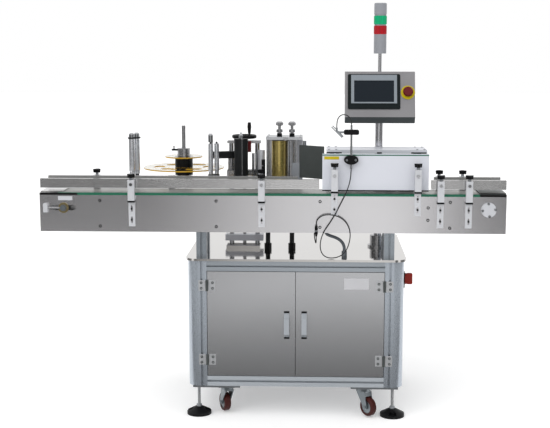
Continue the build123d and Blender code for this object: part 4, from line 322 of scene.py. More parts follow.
tower_body = surface("tower_body", (0.285, 0.295, 0.32), 0.0, 0.40, grain=0.9, tone=0.05, patch=40,
                     depth=0.01, sheen=0.3)
belt_cover = surface("belt_cover", (0.32, 0.32, 0.305), 0.0, 0.34, grain=1.6, tone=0.08, patch=150,
                     depth=0.05, ridge=(1.5, "X", 0.05))
wrap_rubber = surface("wrap_rubber", (0.03, 0.032, 0.034), 0.0, 0.62, grain=1.2, tone=0.20, patch=40,
                      depth=0.06, ridge=(2.5, "X", 0.06))
black_hose = surface("black_hose", (0.014, 0.016, 0.018), 0.0, 0.46, grain=1.0, tone=0.2, patch=30,
                     depth=0.03, ridge=(4.0, "Z", 0.9))
grey_hose = surface("grey_hose", (0.115, 0.13, 0.15), 0.0, 0.42, grain=0.9, tone=0.12, patch=30,
                    ridge=(3.0, "Z", 0.4))
lead_sheath = surface("lead_sheath", (0.016, 0.017, 0.018), 0.0, 0.44, grain=0.6, tone=0.2, patch=25,
                      depth=0.015)
device_grey = surface("device_grey", (0.36, 0.37, 0.37), 0.0, 0.44, grain=0.9, tone=0.08, patch=30,
                      ridge=(9.0, "Z", 0.4))
acrylic_edge = surface("acrylic_edge", (0.62, 0.36, 0.02), 0.0, 0.30, grain=0.8, tone=0.15, patch=20,
                       depth=0.01)


def clear_sheet():
    """Clear acrylic with a faint warm tint and fine scratches."""
    made = Finish("clear_acrylic")
    scratch = made.noise(1.5, detail=6.0, stretch=(1, 0.05, 1))
    tint = made.blend(made.spread(made.noise(60.0), 0, 1), (0.95, 0.93, 0.86), (0.90, 0.88, 0.80))
    made.shade(Base_Color=tint, Roughness=made.spread(scratch, 0.03, 0.14), Transmission_Weight=1.0, IOR=1.2,
               Normal=made.relief(scratch, depth=0.003))
    return made.material


def lit_lens(name, colour, dark):
    """A tinted signal lens with upright flutes."""
    made = Finish(name)
    flutes = made.noise(7.0, detail=2.0, stretch=(1, 1, 0.02))
    made.shade(Base_Color=made.blend(made.spread(flutes, 0, 1), colour, dark), Specular_IOR_Level=0.25,
               Roughness=made.spread(made.noise(3.0), 0.14, 0.26), Normal=made.relief(flutes, depth=0.4))
    return made.material


def screen_glass():
    """Dark display glass with a faint pixel grid and finger haze."""
    made = Finish("screen_glass")
    haze = made.noise(40.0, detail=3.0)
    grid = made.bands(1.2, "X")
    made.shade(Base_Color=made.blend(grid, (0.007, 0.011, 0.016), (0.009, 0.014, 0.020)),
               Specular_IOR_Level=0.14, Roughness=made.spread(haze, 0.10, 0.24),
               Normal=made.relief(haze, depth=0.004))
    return made.material


clear_acrylic = clear_sheet()
red_lens = lit_lens("red_lens", (0.52, 0.010, 0.020), (0.30, 0.007, 0.012))
green_lens = lit_lens("green_lens", (0.004, 0.50, 0.22), (0.004, 0.30, 0.13))
display_glass = screen_glass()

# Tests that pick faces of the CAD pieces
FAR = 2000
LEAN = 0.5


def within(x0=-FAR, x1=FAR, y0=-FAR, y1=FAR, z0=-FAR, z1=FAR):
    """A test for a face whose middle lies in a box of the drawing."""
    return lambda middle, normal: x0 <= middle[0] <= x1 and y0 <= middle[1] <= y1 and z0 <= middle[2] <= z1


def near_axis(x, y, radius, z0=-FAR, z1=FAR):
    """A test for a face near an upright axis."""
    return lambda middle, normal: math.hypot(middle[0] - x, middle[1] - y) <= radius and z0 <= middle[2] <= z1


def top_of(zone):
    """A test for the faces of a zone that look up."""
    return lambda middle, normal: zone(middle, normal) and normal.z > LEAN


def rim_of(zone):
    """A test for the upright faces of a zone."""
    return lambda middle, normal: zone(middle, normal) and abs(normal.z) < LEAN


def paint(node, finish, *zones):
    """Gives a CAD piece its finish, and its zones, each a finish and a test of a face, their own."""
    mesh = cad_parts[node].data
    mesh.materials.clear()
    slots = {}
    for material in (finish, *(zone[0] for zone in zones)):
        if material.name not in slots:
            slots[material.name] = len(mesh.materials)
            mesh.materials.append(material)
    for face in mesh.polygons:
        middle = drawing(face.center)
        face.material_index = 0
        for material, test in zones:
            if test(middle, face.normal):
                face.material_index = slots[material.name]
                break


# Cabinet
DOORS = (("left_door", -1), ("right_door", 1))
MID_X = 95.0
DOOR_FRONT = -25.0
LEAF_FACE = DOOR_FRONT - 0.1
COLUMN_LEFT, COLUMN_RIGHT = -249, 439
LOWER_RAIL_TOP = 200
HINGES_LOW = 150
HINGE_AXIS, KNUCKLE_HALF = 343.5, 5.6
LEAF_INNER, LEAF_OUTER = 310.5, 350.0
HANDLE_OFFSET, HANDLE_HALF = 34.0, 11.0
HANDLE_FACE = DOOR_FRONT - 1
HANDLE_LOW, HANDLE_HIGH = 323.0, 423.0


def knuckles(side):
    """A test for the knuckles of one door's hinges."""
    axis = MID_X + side * HINGE_AXIS
    return within(axis - KNUCKLE_HALF, axis + KNUCKLE_HALF, y1=LEAF_FACE, z0=HINGES_LOW)


paint("cabinet_frame", anodised_profile,
      (lower_rail, within(COLUMN_LEFT, COLUMN_RIGHT, z1=LOWER_RAIL_TOP)),
      (anodised_rail, within(COLUMN_LEFT, COLUMN_RIGHT)))
paint("cabinet_panels", door_sheet)
paint("deck_plate", deck_polish)
paint("frame_fittings", zinc,
      (dark_sheet, knuckles(-1)),
      (dark_sheet, knuckles(1)),
      (hinge_plate, within(z0=HINGES_LOW)))
for door, side in DOORS:
    grip = MID_X + side * HANDLE_OFFSET
    leaf = sorted((MID_X + side * LEAF_INNER, MID_X + side * LEAF_OUTER))
    handle = within(grip - HANDLE_HALF, grip + HANDLE_HALF, y1=HANDLE_FACE, z0=HANDLE_LOW, z1=HANDLE_HIGH)
    paint(door, door_sheet,
          (dark_sheet, knuckles(side)),
          (handle_grey, handle),
          (hinge_plate, within(*leaf, y1=LEAF_FACE)))
gear_plate = within(y0=550, z0=150)
isolator_body = within(x0=490)
paint("control_gear", device_grey, (galvanised, gear_plate), (black_plastic, isolator_body))
paint("isolator_handle", isolator_red)

# Feet and casters
CASTER_YAWS = (115.0, -50.0, -30.0, 150.0)
WHEEL_HUB_R = 25.0
foot_stud = within(z0=39.5)
foot_hexagon = within(z0=30.2)


def wheel_hub(wheel, yaw):
    """A test for the faces of a caster wheel within its hub."""
    corners = [Vector(corner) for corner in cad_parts[wheel].bound_box]
    hub = drawing(sum(corners, Vector()) / len(corners))
    along = (math.cos(math.radians(yaw)), math.sin(math.radians(yaw)))

    def test(middle, normal):
        ahead = (middle[0] - hub[0]) * along[0] + (middle[1] - hub[1]) * along[1]
        return math.hypot(ahead, middle[2] - hub[2]) < WHEEL_HUB_R
    return test


for number, yaw in enumerate(CASTER_YAWS, 1):
    wheel = f"caster_wheel_{number}"
    paint(f"foot_{number}", black_plastic, (threaded_zinc, foot_stud), (zinc, foot_hexagon))
    paint(f"caster_fork_{number}", fork_zinc)
    paint(wheel, wheel_red, (fork_zinc, wheel_hub(wheel, yaw)))

# Conveyor
BELT_LEFT, BELT_RIGHT = -831, 799
CONVEYOR_MID, CONVEYOR_REAR = 75, 150
STRIP_FOOT, STRIP_TOP = 875.5, 884.1
IDLER_SPAN = (-830, -780)
DRIVE_SPAN = (800, 865)
front_strip = within(BELT_LEFT, BELT_RIGHT, y1=CONVEYOR_MID, z0=STRIP_FOOT, z1=STRIP_TOP)
rear_strip = within(BELT_LEFT, BELT_RIGHT, y0=CONVEYOR_MID, z0=STRIP_FOOT, z1=STRIP_TOP)
right_plate = within(x0=BELT_RIGHT + 0.5, z0=STRIP_FOOT)
left_plate = within(x1=-800, y0=10, y1=140, z0=STRIP_TOP + 0.1)
left_plate_edge = within(x1=-829, z0=STRIP_FOOT)
front_bearing = within(*DRIVE_SPAN, y1=0.1)
rear_bearing = within(*DRIVE_SPAN, y0=CONVEYOR_REAR - 0.1)
axle_nuts = within(*IDLER_SPAN, y1=-4.06)
front_washer = within(*IDLER_SPAN, -4.05, 0)
rear_washer = within(*IDLER_SPAN, CONVEYOR_REAR, 154.05)
take_up_blocks = within(-888, -866)
rail_knob_necks = within(z0=936.9, z1=945.5)
board_knob_necks = within(z0=980.9, z1=989.5)
gearbox = within(y1=218.1)

paint("conveyor_posts", post_profile)
paint("conveyor_frame", side_sheet)
paint("conveyor_belt", belt_cover)
paint("conveyor_trim", turned_steel,
      (green_strip, front_strip),
      (grey_strip, rear_strip),
      (dark_sheet, top_of(right_plate)),
      (black_plastic, right_plate),
      (rail_aluminium, left_plate),
      (black_plastic, left_plate_edge),
      (white_plastic, front_bearing),
      (white_plastic, rear_bearing),
      (fork_zinc, axle_nuts),
      (brass, front_washer),
      (brass, rear_washer),
      (bright_bar, take_up_blocks))
paint("clamp_brackets", bright_bar)
paint("clamp_knobs", black_plastic, (zinc, rail_knob_necks), (zinc, board_knob_necks))
paint("drive_motor", motor_paint, (grey_paint, gearbox))
RAIL_SIDES = (("front", within(y0=30.2), within(y1=14.9)), ("rear", within(y1=119.8), within(y0=135.1)))
for place, strip, rods in RAIL_SIDES:
    for half in ("left", "right"):
        paint(f"{place}_rail_{half}", rail_aluminium, (grey_strip, strip), (chrome, rods))

# Cable hoses on the deck
junction_boxes = within(x0=150, x1=256, z0=739.5)
grey_run = within(x0=195, z1=740)
deck_glands = within(z1=656)
wall_glands = within(y1=172)
paint("conduits", black_hose,
      (device_grey, junction_boxes),
      (grey_hose, grey_run),
      (black_plastic, deck_glands),
      (black_plastic, wall_glands))

# Wrap station and its sensor
wrap_top = within(z0=1031.9)
wrap_post = within(x0=440, x1=490, z1=896)
wrap_motor = within(x0=500, z1=895.9)
wrap_spacers = within(z0=904.5, z1=1031.5)
board_pad = within(y0=29.1)
board_rods = within(y1=16.9)
oval_clamp = within(278, 334, z0=997, z1=1034)
cross_clamp = within(276.9, 335.1, z0=1112, z1=1132)
fork_sensor = within(x1=276)
connector_ring = within(z0=740, z1=746)

paint("wrap_frame", bright_bar,
      (white_board, wrap_top),
      (anodised_profile, wrap_post),
      (motor_paint, wrap_motor),
      (chrome, wrap_spacers))
paint("wrap_belt", wrap_rubber)
paint("wrap_board", white_board, (green_strip, board_pad), (chrome, board_rods))
paint("sensor_stand", chrome, (black_plastic, oval_clamp), (black_plastic, cross_clamp), (zinc, fork_sensor))
paint("lead_connector", black_plastic, (zinc, connector_ring))
for roller in ("drive_roller", "idler_roller", "wrap_roller_left", "wrap_roller_right"):
    paint(roller, turned_steel)
paint("sensor_lead_upper", lead_sheath)
paint("sensor_lead_lower", lead_sheath)
for piece in (upper_lead, lower_lead, lead_tail):
    piece.data.materials.append(lead_sheath)

# Operator panel: places on its sloped face are across, up and out, in millimetres
PANEL_TILT = math.radians(18.0)
FACE_FOOT = placed(285, 190, 1168)
FACE_OUT = Vector((0, -math.cos(PANEL_TILT), math.sin(PANEL_TILT)))
FACE_UP = Vector((0, math.sin(PANEL_TILT), math.cos(PANEL_TILT)))
FACE_ACROSS = Vector((1, 0, 0))
SCREEN = (36, 194, 60.6, 148.6)
SURROUND = (24, 206, 55, 172)
SURROUND_OUT = (4.9, 5.8)
BEZEL = (0, 220, 20, 190)
STOP_DISC = (219, 279, 40, 160)
GLASS_OUT = (3.0, 3.6)
FITTING_OUT = (0.2, 6)
SHADED_CHIN_LEAN = -0.3
red_lens_ring = within(z0=1493.1, z1=1526.9)
green_lens_ring = within(z0=1532.1, z1=1565.9)


def face_point(across, up, out):
    """A point of the panel's face, in model metres."""
    return FACE_FOOT + (FACE_ACROSS * across + FACE_UP * up + FACE_OUT * out) / MM


def face_zone(x0, x1, y0, y1, out0, out1):
    """A test for a face of the panel's fittings."""
    def test(middle, normal):
        offset = (placed(*middle) - FACE_FOOT) * MM
        across, up, out = offset.dot(FACE_ACROSS), offset.dot(FACE_UP), offset.dot(FACE_OUT)
        return x0 <= across <= x1 and y0 <= up <= y1 and out0 <= out <= out1
    return test


# The box's faces that lean down get the painted-shade chin finish
paint("hmi_box", panel_sheet,
      (display_glass, face_zone(*SCREEN, *GLASS_OUT)),
      (bezel_black, face_zone(*BEZEL, *FITTING_OUT)),
      (yellow_disc, face_zone(*STOP_DISC, *FITTING_OUT)),
      (panel_chin_painted_shade, lambda middle, normal: normal.z < SHADED_CHIN_LEAN))
paint("pole_socket", turned_steel)
paint("hmi_pole", polished_steel)
paint("tower_light", tower_body, (red_lens, red_lens_ring), (green_lens, green_lens_ring))
paint("stop_button", red_moulded)

# Label head
PRESSURE_PLACES = ((24, 220), (74, 220))
REEL_PLACE = (-384, 395)
SPOOL_PLACE = (-130, 203)
SCREW_PLACE = (-122, 285)
TRACTION_X, TRACTION_Y, JOURNAL_REACH = 21, 238, 10
indicator = within(-112.1, -91.9, 241.9, 262, 1021)
pedestal_base = within(z1=646.5)
pedestal_tie = within(y1=310.1, z0=654.9, z1=680.1)
pedestal_top = within(z0=1055.9)
peel_plate = within(104, 207, 127, 201, 925.9, 1056.1)
peel_knob = within(100, 140, 165, 201, 1056.2, 1075)
peel_foot = within(75.9, 116.1, 191.9, 206.1, 904.1, 984.1)
carriage = within(x1=-51.9, y0=262.2, z0=889.9, z1=945.1)
reel_arms = within(x1=-186.5, z0=889.9, z1=908.1)
head_base = within(z0=889.9, z1=904.1)
guide_tie = within(x1=-540, z0=1071.9, z1=1077.1)
guide_caps = within(x1=-540, z0=1077.1)
head_top = within(-30.1, 116.1, 191.9, z0=1075.9, z1=1087.1)
head_wall = within(-30.1, 116.1, 299.9, 310.1, 904, 1076)
pillar = near_axis(-50, 242, 14.5)
post_pair = within(-90, -64, 248, 260)
label_eye = within(-47.1, -32.9, 191.9, 216.1, 929.9, 996.1)
pressure_bases = [near_axis(*place, 10.6, 1087.1, 1100.9) for place in PRESSURE_PLACES]
lead_screw = near_axis(*SCREW_PLACE, 7.5, z1=1071)
wide_disc = within(z0=939.9, z1=945.1)
small_disc = within(z0=985.9, z1=991.05)
small_disc_side = within(z0=986.1, z1=990.9)
reel_collar = near_axis(*REEL_PLACE, 27.5, 991.1)
spool_disc = within(z0=922.9, z1=927.1)
spool_disc_side = within(z0=923.1, z1=926.9)
spool_mandrel = near_axis(*SPOOL_PLACE, 28.1, z1=1080.1)
dancer_bar = within(z0=993.9, z1=1022.1)
yoke_top = within(z0=1057.9, z1=1064.1)
yoke_foot = within(z0=925.9, z1=932.1)
dancer_caps = within(z0=1064.2)


def beyond_journals(middle, normal):
    """A test for the traction roller's faces outside its journals."""
    return math.hypot(middle[0] - TRACTION_X, middle[1] - TRACTION_Y) > JOURNAL_REACH


paint("head_pedestal", chrome,
      (red_moulded, indicator),
      (deck_polish, pedestal_base),
      (white_board, pedestal_tie),
      (turned_steel, pedestal_top))
paint("head_frame", turned_steel,
      (dark_sheet, peel_plate),
      (zinc, peel_knob),
      (grey_paint, peel_foot),
      (black_metal, carriage),
      (black_metal, reel_arms),
      (bright_bar, head_base),
      (black_metal, guide_tie),
      (chrome, guide_caps),
      (hinge_plate, head_top),
      (white_board, head_wall),
      (bright_bar, pillar),
      (chrome, post_pair),
      (black_plastic, label_eye),
      *((black_plastic, base) for base in pressure_bases))
paint("handwheel", black_plastic, (turned_steel, lead_screw))
paint("label_reel", black_plastic,
      (acrylic_edge, rim_of(wide_disc)),
      (clear_acrylic, wide_disc),
      (acrylic_edge, rim_of(small_disc_side)),
      (clear_acrylic, small_disc),
      (turned_steel, reel_collar))
paint("rewind_spool", chrome,
      (acrylic_edge, rim_of(spool_disc_side)),
      (clear_acrylic, spool_disc),
      (black_metal, spool_mandrel))
paint("traction_roller", turned_steel, (gold_anodised, beyond_journals))
paint("press_roller", turned_steel)
paint("dancer_arm", turned_steel,
      (black_metal, dancer_bar),
      (black_metal, yoke_top),
      (black_metal, yoke_foot),
      (chrome, dancer_caps))
for roller in ("guide_roller_1", "guide_roller_2", "dancer_roller_1", "dancer_roller_2"):
    paint(roller, roller_steel)

# Repeated fittings, made by node trees
SCREW_SIDES = 16
SOCKET_DEPTH = -0.7
RIB_SIDES = 6


def tree(name, **sizes):
    """A geometry tree with a mesh in, a mesh out and named sizes."""
    made = bpy.data.node_groups.new(name, "GeometryNodeTree")
    made.interface.new_socket("Geometry", in_out="INPUT", socket_type="NodeSocketGeometry")
    for size, kind in sizes.items():
        made.interface.new_socket(size.replace("_", " "), in_out="INPUT", socket_type=kind)
    made.interface.new_socket("Geometry", in_out="OUTPUT", socket_type="NodeSocketGeometry")
    return made, made.nodes.new("NodeGroupInput").outputs, made.nodes.new("NodeGroupOutput").inputs


def add(made, kind, settings=None, **values):
    """A node of a geometry tree, its sockets set or linked by name."""
    node = made.nodes.new(kind)
    for key, value in (settings or {}).items():
        setattr(node, key, value)
    for key, value in values.items():
        socket = node.inputs[key.replace("_", " ")]
        if isinstance(value, bpy.types.NodeSocket):
            made.links.new(value, socket)
        else:
            socket.default_value = value
    return node


def ending(made, geometry, finish, result):
    """Real faces in a finish, as the tree's result."""
    real = add(made, "GeometryNodeRealizeInstances", Geometry=geometry)
    done = add(made, "GeometryNodeSetMaterial", Geometry=real.outputs[0], Material=finish)
    made.links.new(done.outputs[0], result[0])


def on_points(made, inputs, instance):
    """An instance on each point, along its axis and at its own size."""
    axis = add(made, "GeometryNodeInputNamedAttribute", {"data_type": "FLOAT_VECTOR"}, Name="axis")
    size = add(made, "GeometryNodeInputNamedAttribute", {"data_type": "FLOAT"}, Name="size")
    turned = add(made, "FunctionNodeAlignRotationToVector", {"axis": "Z"}, Vector=axis.outputs[0])
    return add(made, "GeometryNodeInstanceOnPoints", Points=inputs["Geometry"], Instance=instance,
               Rotation=turned.outputs[0], Scale=size.outputs[0]).outputs[0]


def screw_tree():
    """Socket head screws: a round head with a sunk socket, on each point."""
    made, inputs, result = tree("socket_screws", Head_radius="NodeSocketFloat", Head_height="NodeSocketFloat",
                                Socket_share="NodeSocketFloat", Finish="NodeSocketMaterial")
    head = add(made, "GeometryNodeMeshCylinder", {"fill_type": "NGON"}, Vertices=SCREW_SIDES,
               Radius=inputs["Head radius"], Depth=inputs["Head height"])
    rim = add(made, "GeometryNodeExtrudeMesh", {"mode": "FACES"}, Mesh=head.outputs["Mesh"],
              Selection=head.outputs["Top"], Offset_Scale=0.0)
    inner = add(made, "GeometryNodeScaleElements", {"domain": "FACE"}, Geometry=rim.outputs["Mesh"],
                Selection=rim.outputs["Top"], Scale=inputs["Socket share"])
    sink = add(made, "ShaderNodeMath", {"operation": "MULTIPLY"})
    made.links.new(inputs["Head height"], sink.inputs[0])
    sink.inputs[1].default_value = SOCKET_DEPTH
    socket = add(made, "GeometryNodeExtrudeMesh", {"mode": "FACES"}, Mesh=inner.outputs[0],
                 Selection=rim.outputs["Top"], Offset_Scale=sink.outputs[0])
    ending(made, on_points(made, inputs, socket.outputs["Mesh"]), inputs["Finish"], result)
    return made


def rib_tree():
    """A ring of upright ribs round each point: flutes and knurling."""
    made, inputs, result = tree("upright_ribs", Ring_radius="NodeSocketFloat", Rib_radius="NodeSocketFloat",
                                Rib_height="NodeSocketFloat", Ribs="NodeSocketInt",
                                Finish="NodeSocketMaterial")
    rib = add(made, "GeometryNodeMeshCylinder", {"fill_type": "NGON"}, Vertices=RIB_SIDES,
              Radius=inputs["Rib radius"], Depth=inputs["Rib height"])
    ring = add(made, "GeometryNodeMeshCircle", Vertices=inputs["Ribs"], Radius=inputs["Ring radius"])
    around = add(made, "GeometryNodeInstanceOnPoints", Points=ring.outputs[0], Instance=rib.outputs["Mesh"])
    ending(made, on_points(made, inputs, around.outputs[0]), inputs["Finish"], result)
    return made


def plain_piece(name, source, body):
    """The evaluated source as a plain mesh, in place of it, riding on a body."""
    graph = bpy.context.evaluated_depsgraph_get()
    mesh = bpy.data.meshes.new_from_object(source.evaluated_get(graph))
    mesh.name = name
    data = source.data
    bpy.data.objects.remove(source)
    bpy.data.meshes.remove(data)
    piece = new_object(name, mesh)
    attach(piece, body)


def repeated(name, body, slot, made, places, **sizes):
    """A tree's fittings at places of the drawing, each a point, an axis and a size, as one piece."""
    mesh = bpy.data.meshes.new(name + "_places")
    mesh.from_pydata([placed(*place) for place, _, _ in places], [], [])
    axes = mesh.attributes.new("axis", "FLOAT_VECTOR", "POINT")
    axes.data.foreach_set("vector", [part for _, axis, _ in places for part in axis])
    scales = mesh.attributes.new("size", "FLOAT", "POINT")
    scales.data.foreach_set("value", [size for _, _, size in places])
    source = new_object(name + "_places", mesh)
    modifier = source.modifiers.new("fittings", "NODES")
    modifier.node_group = made
    for item in made.interface.items_tree:
        if item.in_out == "INPUT" and item.name in sizes:
            modifier[item.identifier] = sizes[item.name]
    plain_piece(name, source, body)


screws = screw_tree()
ribs = rib_tree()
TO_FRONT, TO_REAR, UP = (0, -1, 0), (0, 1, 0), (0, 0, 1)
SCREW = {"Head radius": 0.0045, "Head height": 0.004, "Socket share": 0.5}


def screw_set(name, body, places, finish=zinc, slot="zinc"):
    """Screws of one body."""
    repeated(name, body, slot, screws, places, Finish=finish, **SCREW)


# Screws of the conveyor's side plates
SMALL_SCREW, PLAIN_SCREW, HINGE_SCREW, TIE_SCREW = 0.9, 1.0, 1.1, 1.3
TIES = ((-665, 855), (-665, 755), (-213, 855), (-213, 755), (188, 855), (188, 755), (602, 833), (602, 785),
        (686, 855), (686, 755))
BEARING_X, BEARING_Z, BEARING_CIRCLE = 833, 826, 24.5
BEARING_FACE = -8
BEARING_TURN = 0.1
tie_screws = [((x, y, z), axis, TIE_SCREW) for x, z in TIES
              for y, axis in ((0, TO_FRONT), (CONVEYOR_REAR, TO_REAR))]
screw_set("side_plate_screws", "machine", tie_screws, black_metal, "dark_metal")
bearing_screws = []
for quarter in range(4):
    angle = quarter * math.pi / 2 + BEARING_TURN
    spot = (BEARING_X + BEARING_CIRCLE * math.cos(angle), BEARING_FACE,
            BEARING_Z + BEARING_CIRCLE * math.sin(angle))
    bearing_screws.append((spot, TO_FRONT, PLAIN_SCREW))
screw_set("bearing_screws", "machine", bearing_screws, black_metal, "dark_metal")

# Screws of the hinges: a pair in each leaf, on the column's and on the door's side
HINGE_ZS = (232.0, 528.0)
LEAF_FRONT = DOOR_FRONT - 2.5
COLUMN_HOLE, DOOR_HOLE = 366.0, 322.0
HOLE_RISE = 11.0


def leaf_screws(side, hole):
    """The screws of one side's leaves."""
    return [((MID_X + side * hole, LEAF_FRONT, z + rise), TO_FRONT, HINGE_SCREW)
            for z in HINGE_ZS for rise in (-HOLE_RISE, HOLE_RISE)]


screw_set("column_hinge_screws", "machine", leaf_screws(-1, COLUMN_HOLE) + leaf_screws(1, COLUMN_HOLE),
          dark_sheet, "dark_metal")
for door, side in DOORS:
    screw_set(door + "_screws", door, leaf_screws(side, DOOR_HOLE), dark_sheet, "dark_metal")

# Screws of the brackets, clamps and plates
RAIL_BRACKETS = (-540, -37, 648, 756)
BOARD_BRACKETS = (243, 561)
REAR_BRACKETS = (-706, -405, -46, 659, 751)
RAIL_HOLES, BOARD_HOLES = (781, 824), (825, 866)
BRACKET_FRONT, BRACKET_REAR = -6, 156
STAND_X, CLAMP_FRONT, CLAMP_Z, CLAMP_HOLE = 306, -4, 1016, 17
HEAD_TOP_FACE, HEAD_BASE_FACE, WRAP_TOP_FACE = 1087, 904, 1046
bracket_screws = [((x, BRACKET_FRONT, z), TO_FRONT, SMALL_SCREW) for x in RAIL_BRACKETS for z in RAIL_HOLES]
bracket_screws += [((x, BRACKET_FRONT, z), TO_FRONT, SMALL_SCREW)
                   for x in BOARD_BRACKETS for z in BOARD_HOLES]
bracket_screws += [((x, BRACKET_REAR, z), TO_REAR, SMALL_SCREW) for x in REAR_BRACKETS for z in RAIL_HOLES]
screw_set("bracket_screws", "machine", bracket_screws, black_metal, "dark_metal")
clamp_screws = [((STAND_X + side * CLAMP_HOLE, CLAMP_FRONT, CLAMP_Z), TO_FRONT, SMALL_SCREW)
                for side in (-1, 1)]
screw_set("oval_clamp_screws", "board", clamp_screws)
head_screws = [((x, y, HEAD_TOP_FACE), UP, SMALL_SCREW) for x in (-22, 108) for y in (200, 302)]
head_screws += [((x, 224, HEAD_BASE_FACE), UP, SMALL_SCREW) for x in (-170, -90)]
screw_set("head_plate_screws", "label_head", head_screws)
wrap_screws = [((x, y, WRAP_TOP_FACE), UP, PLAIN_SCREW) for x in (222, 250, 566, 594) for y in (110, 225)]
screw_set("wrap_plate_screws", "machine", wrap_screws)

# Flutes of the signal lenses and knurling of the pressure screws
TOWER_PLACE = (424, 270)
RED_LENS_MID, GREEN_LENS_MID, KNURL_MID = 1510, 1549, 1138
LENS_RIBS = {"Ring radius": 0.025, "Rib radius": 0.0007, "Rib height": 0.030, "Ribs": 40}
KNURL = {"Ring radius": 0.0145, "Rib radius": 0.0008, "Rib height": 0.010, "Ribs": 36}
for name, height, finish in (("red_lens_flutes", RED_LENS_MID, red_lens),
                             ("green_lens_flutes", GREEN_LENS_MID, green_lens)):
    repeated(name, "panel", "lens", ribs, [((*TOWER_PLACE, height), UP, 1.0)], Finish=finish, **LENS_RIBS)
repeated("pressure_knob_knurl", "label_head", "bright", ribs,
         [((*place, KNURL_MID), UP, 1.0) for place in PRESSURE_PLACES], Finish=turned_steel, **KNURL)

# Thin plates and trims
FINE_EDGE, SURROUND_EDGE, FOOT_EDGE = 0.0002, 0.0003, 0.0008
EDGE_STEPS = 2


def soft_edged(name, body, finish, places, faces, edge):
    """A mesh with soft edges, as one piece."""
    mesh = bpy.data.meshes.new(name)
    mesh.from_pydata(places, [], faces)
    mesh.materials.append(finish)
    source = new_object(name + "_raw", mesh)
    soft = source.modifiers.new("edges", "BEVEL")
    soft.width = edge
    soft.segments = EDGE_STEPS
    plain_piece(name, source, body)


def thin_plate(name, body, finish, corners, edge=FINE_EDGE):
    """A thin plate between two corners of the drawing."""
    (x0, y0, z0), (x1, y1, z1) = corners
    places = [placed(x, y, z) for x in (x0, x1) for y in (y0, y1) for z in (z0, z1)]
    faces = [(0, 1, 3, 2), (4, 6, 7, 5), (0, 4, 5, 1), (2, 3, 7, 6), (0, 2, 6, 4), (1, 5, 7, 3)]
    soft_edged(name, body, finish, places, faces, edge)


thin_plate("left_edge_cover", "machine", black_plastic, ((-831, -0.6, 876), (-752, 0, 884)))
thin_plate("board_upper_edge", "board", green_strip, ((196, 16.4, 1031), (604, 17, 1035)))
# Painted shadow: three thin black plates under the front of the wrap station's top plate stand in for the
# shadowed gap there
WRAP_GAP_SHADOWS = ((212.5, 271.5), (408.5, 427.5), (541.5, 601.0))
for number, (left, right) in enumerate(WRAP_GAP_SHADOWS, 1):
    thin_plate(f"wrap_insert_{number}", "machine", black_plastic,
               ((left, 94.4, 1032.2), (right, 95, 1037.5)))
# Painted shadow: a thin black strip along the board's lower edge stands in for the shadow line under the
# board
thin_plate("board_lower_shadow_strip", "board", black_plastic, ((196, 16.4, 894), (604, 17, 898.5)))
thin_plate("board_plate", "board", yellow_disc, ((203, 16.5, 1016), (260, 17, 1028)))
thin_plate("side_plate_badge", "machine", white_plastic, ((-828, -0.6, 855), (-772, 0, 871)))
thin_plate("door_plate", "right_door", pale_plate, ((283, -25.6, 516), (378, -25, 560)))
FOOT_HALF, FOOT_FRONT = 10.5, -27.5
HANDLE_FEET = (("upper", 416, 428), ("lower", 318, 330))
for door, side in DOORS:
    grip = MID_X + side * HANDLE_OFFSET
    for end, low, high in HANDLE_FEET:
        thin_plate(f"{door}_{end}_handle_foot", door, black_plastic,
                   ((grip - FOOT_HALF, FOOT_FRONT, low), (grip + FOOT_HALF, DOOR_FRONT, high)), FOOT_EDGE)


def display_surround():
    """The display's silver surround, proud of its black bezel."""
    low, high = SURROUND_OUT
    rings = [(SURROUND, low), (SURROUND, high), (SCREEN, high), (SCREEN, low)]
    places = [face_point(x, y, out) for (x0, x1, y0, y1), out in rings
              for x, y in ((x0, y0), (x1, y0), (x1, y1), (x0, y1))]
    faces = [(ring * 4 + a, ring * 4 + (a + 1) % 4, (ring + 1) % 4 * 4 + (a + 1) % 4, (ring + 1) % 4 * 4 + a)
             for ring in range(4) for a in range(4)]
    soft_edged("bezel_face", "panel", bezel_silver, places, faces, SURROUND_EDGE)


display_surround()

# Stage: a pale floor, a white room, and grey cards that only reflections see
WHITE, BLACK = (1.0, 1.0, 1.0, 1.0), (0.0, 0.0, 0.0, 1.0)
FLOOR_TONE = (0.86, 0.86, 0.86, 1.0)
FLOOR_ROUGH = 0.9
FLOOR_GLOW = 0.25
FLOOR_HALF = 30.0
AMBIENT = 0.55


def pale_floor():
    """A pale floor that keeps the machine's shadow and meets the white background."""
    made = Finish("pale_floor")
    path = made.node("ShaderNodeLightPath").outputs
    seen = made.math("MAXIMUM", path["Is Camera Ray"], path["Is Glossy Ray"])
    made.shade(Base_Color=FLOOR_TONE, Roughness=FLOOR_ROUGH, Specular_IOR_Level=0.0, Emission_Color=WHITE,
               Emission_Strength=made.spread(seen, 0.0, FLOOR_GLOW, 0.0, 1.0))
    return made.material


def card(name, corners, axis, first, last):
    """A grey card that only reflections see, its tone running from first to last along an axis."""
    made = Finish(name)
    along = made.node("ShaderNodeSeparateXYZ", Vector=made.places["Generated"]).outputs[axis]
    made.shade(Base_Color=BLACK, Specular_IOR_Level=0.0, Emission_Color=WHITE,
               Emission_Strength=made.spread(along, first, last, 0.0, 1.0))
    mesh = bpy.data.meshes.new(name)
    mesh.from_pydata(corners, [], [(0, 1, 2, 3)])
    mesh.materials.append(made.material)
    sheet = new_object(name, mesh)
    sheet.visible_camera = False
    sheet.visible_diffuse = False
    sheet.visible_shadow = False
    sheet.visible_transmission = False


def upright(x0, y0, x1, y1, top):
    """The corners of an upright card between two places on the floor."""
    foot = 0.01
    return [(x0, y0, foot), (x1, y1, foot), (x1, y1, top), (x0, y0, top)]


def lying(x0, x1, y0, y1):
    """The corners of a card just above the floor."""
    rise = 0.004
    return [(x0, y0, rise), (x1, y0, rise), (x1, y1, rise), (x0, y1, rise)]


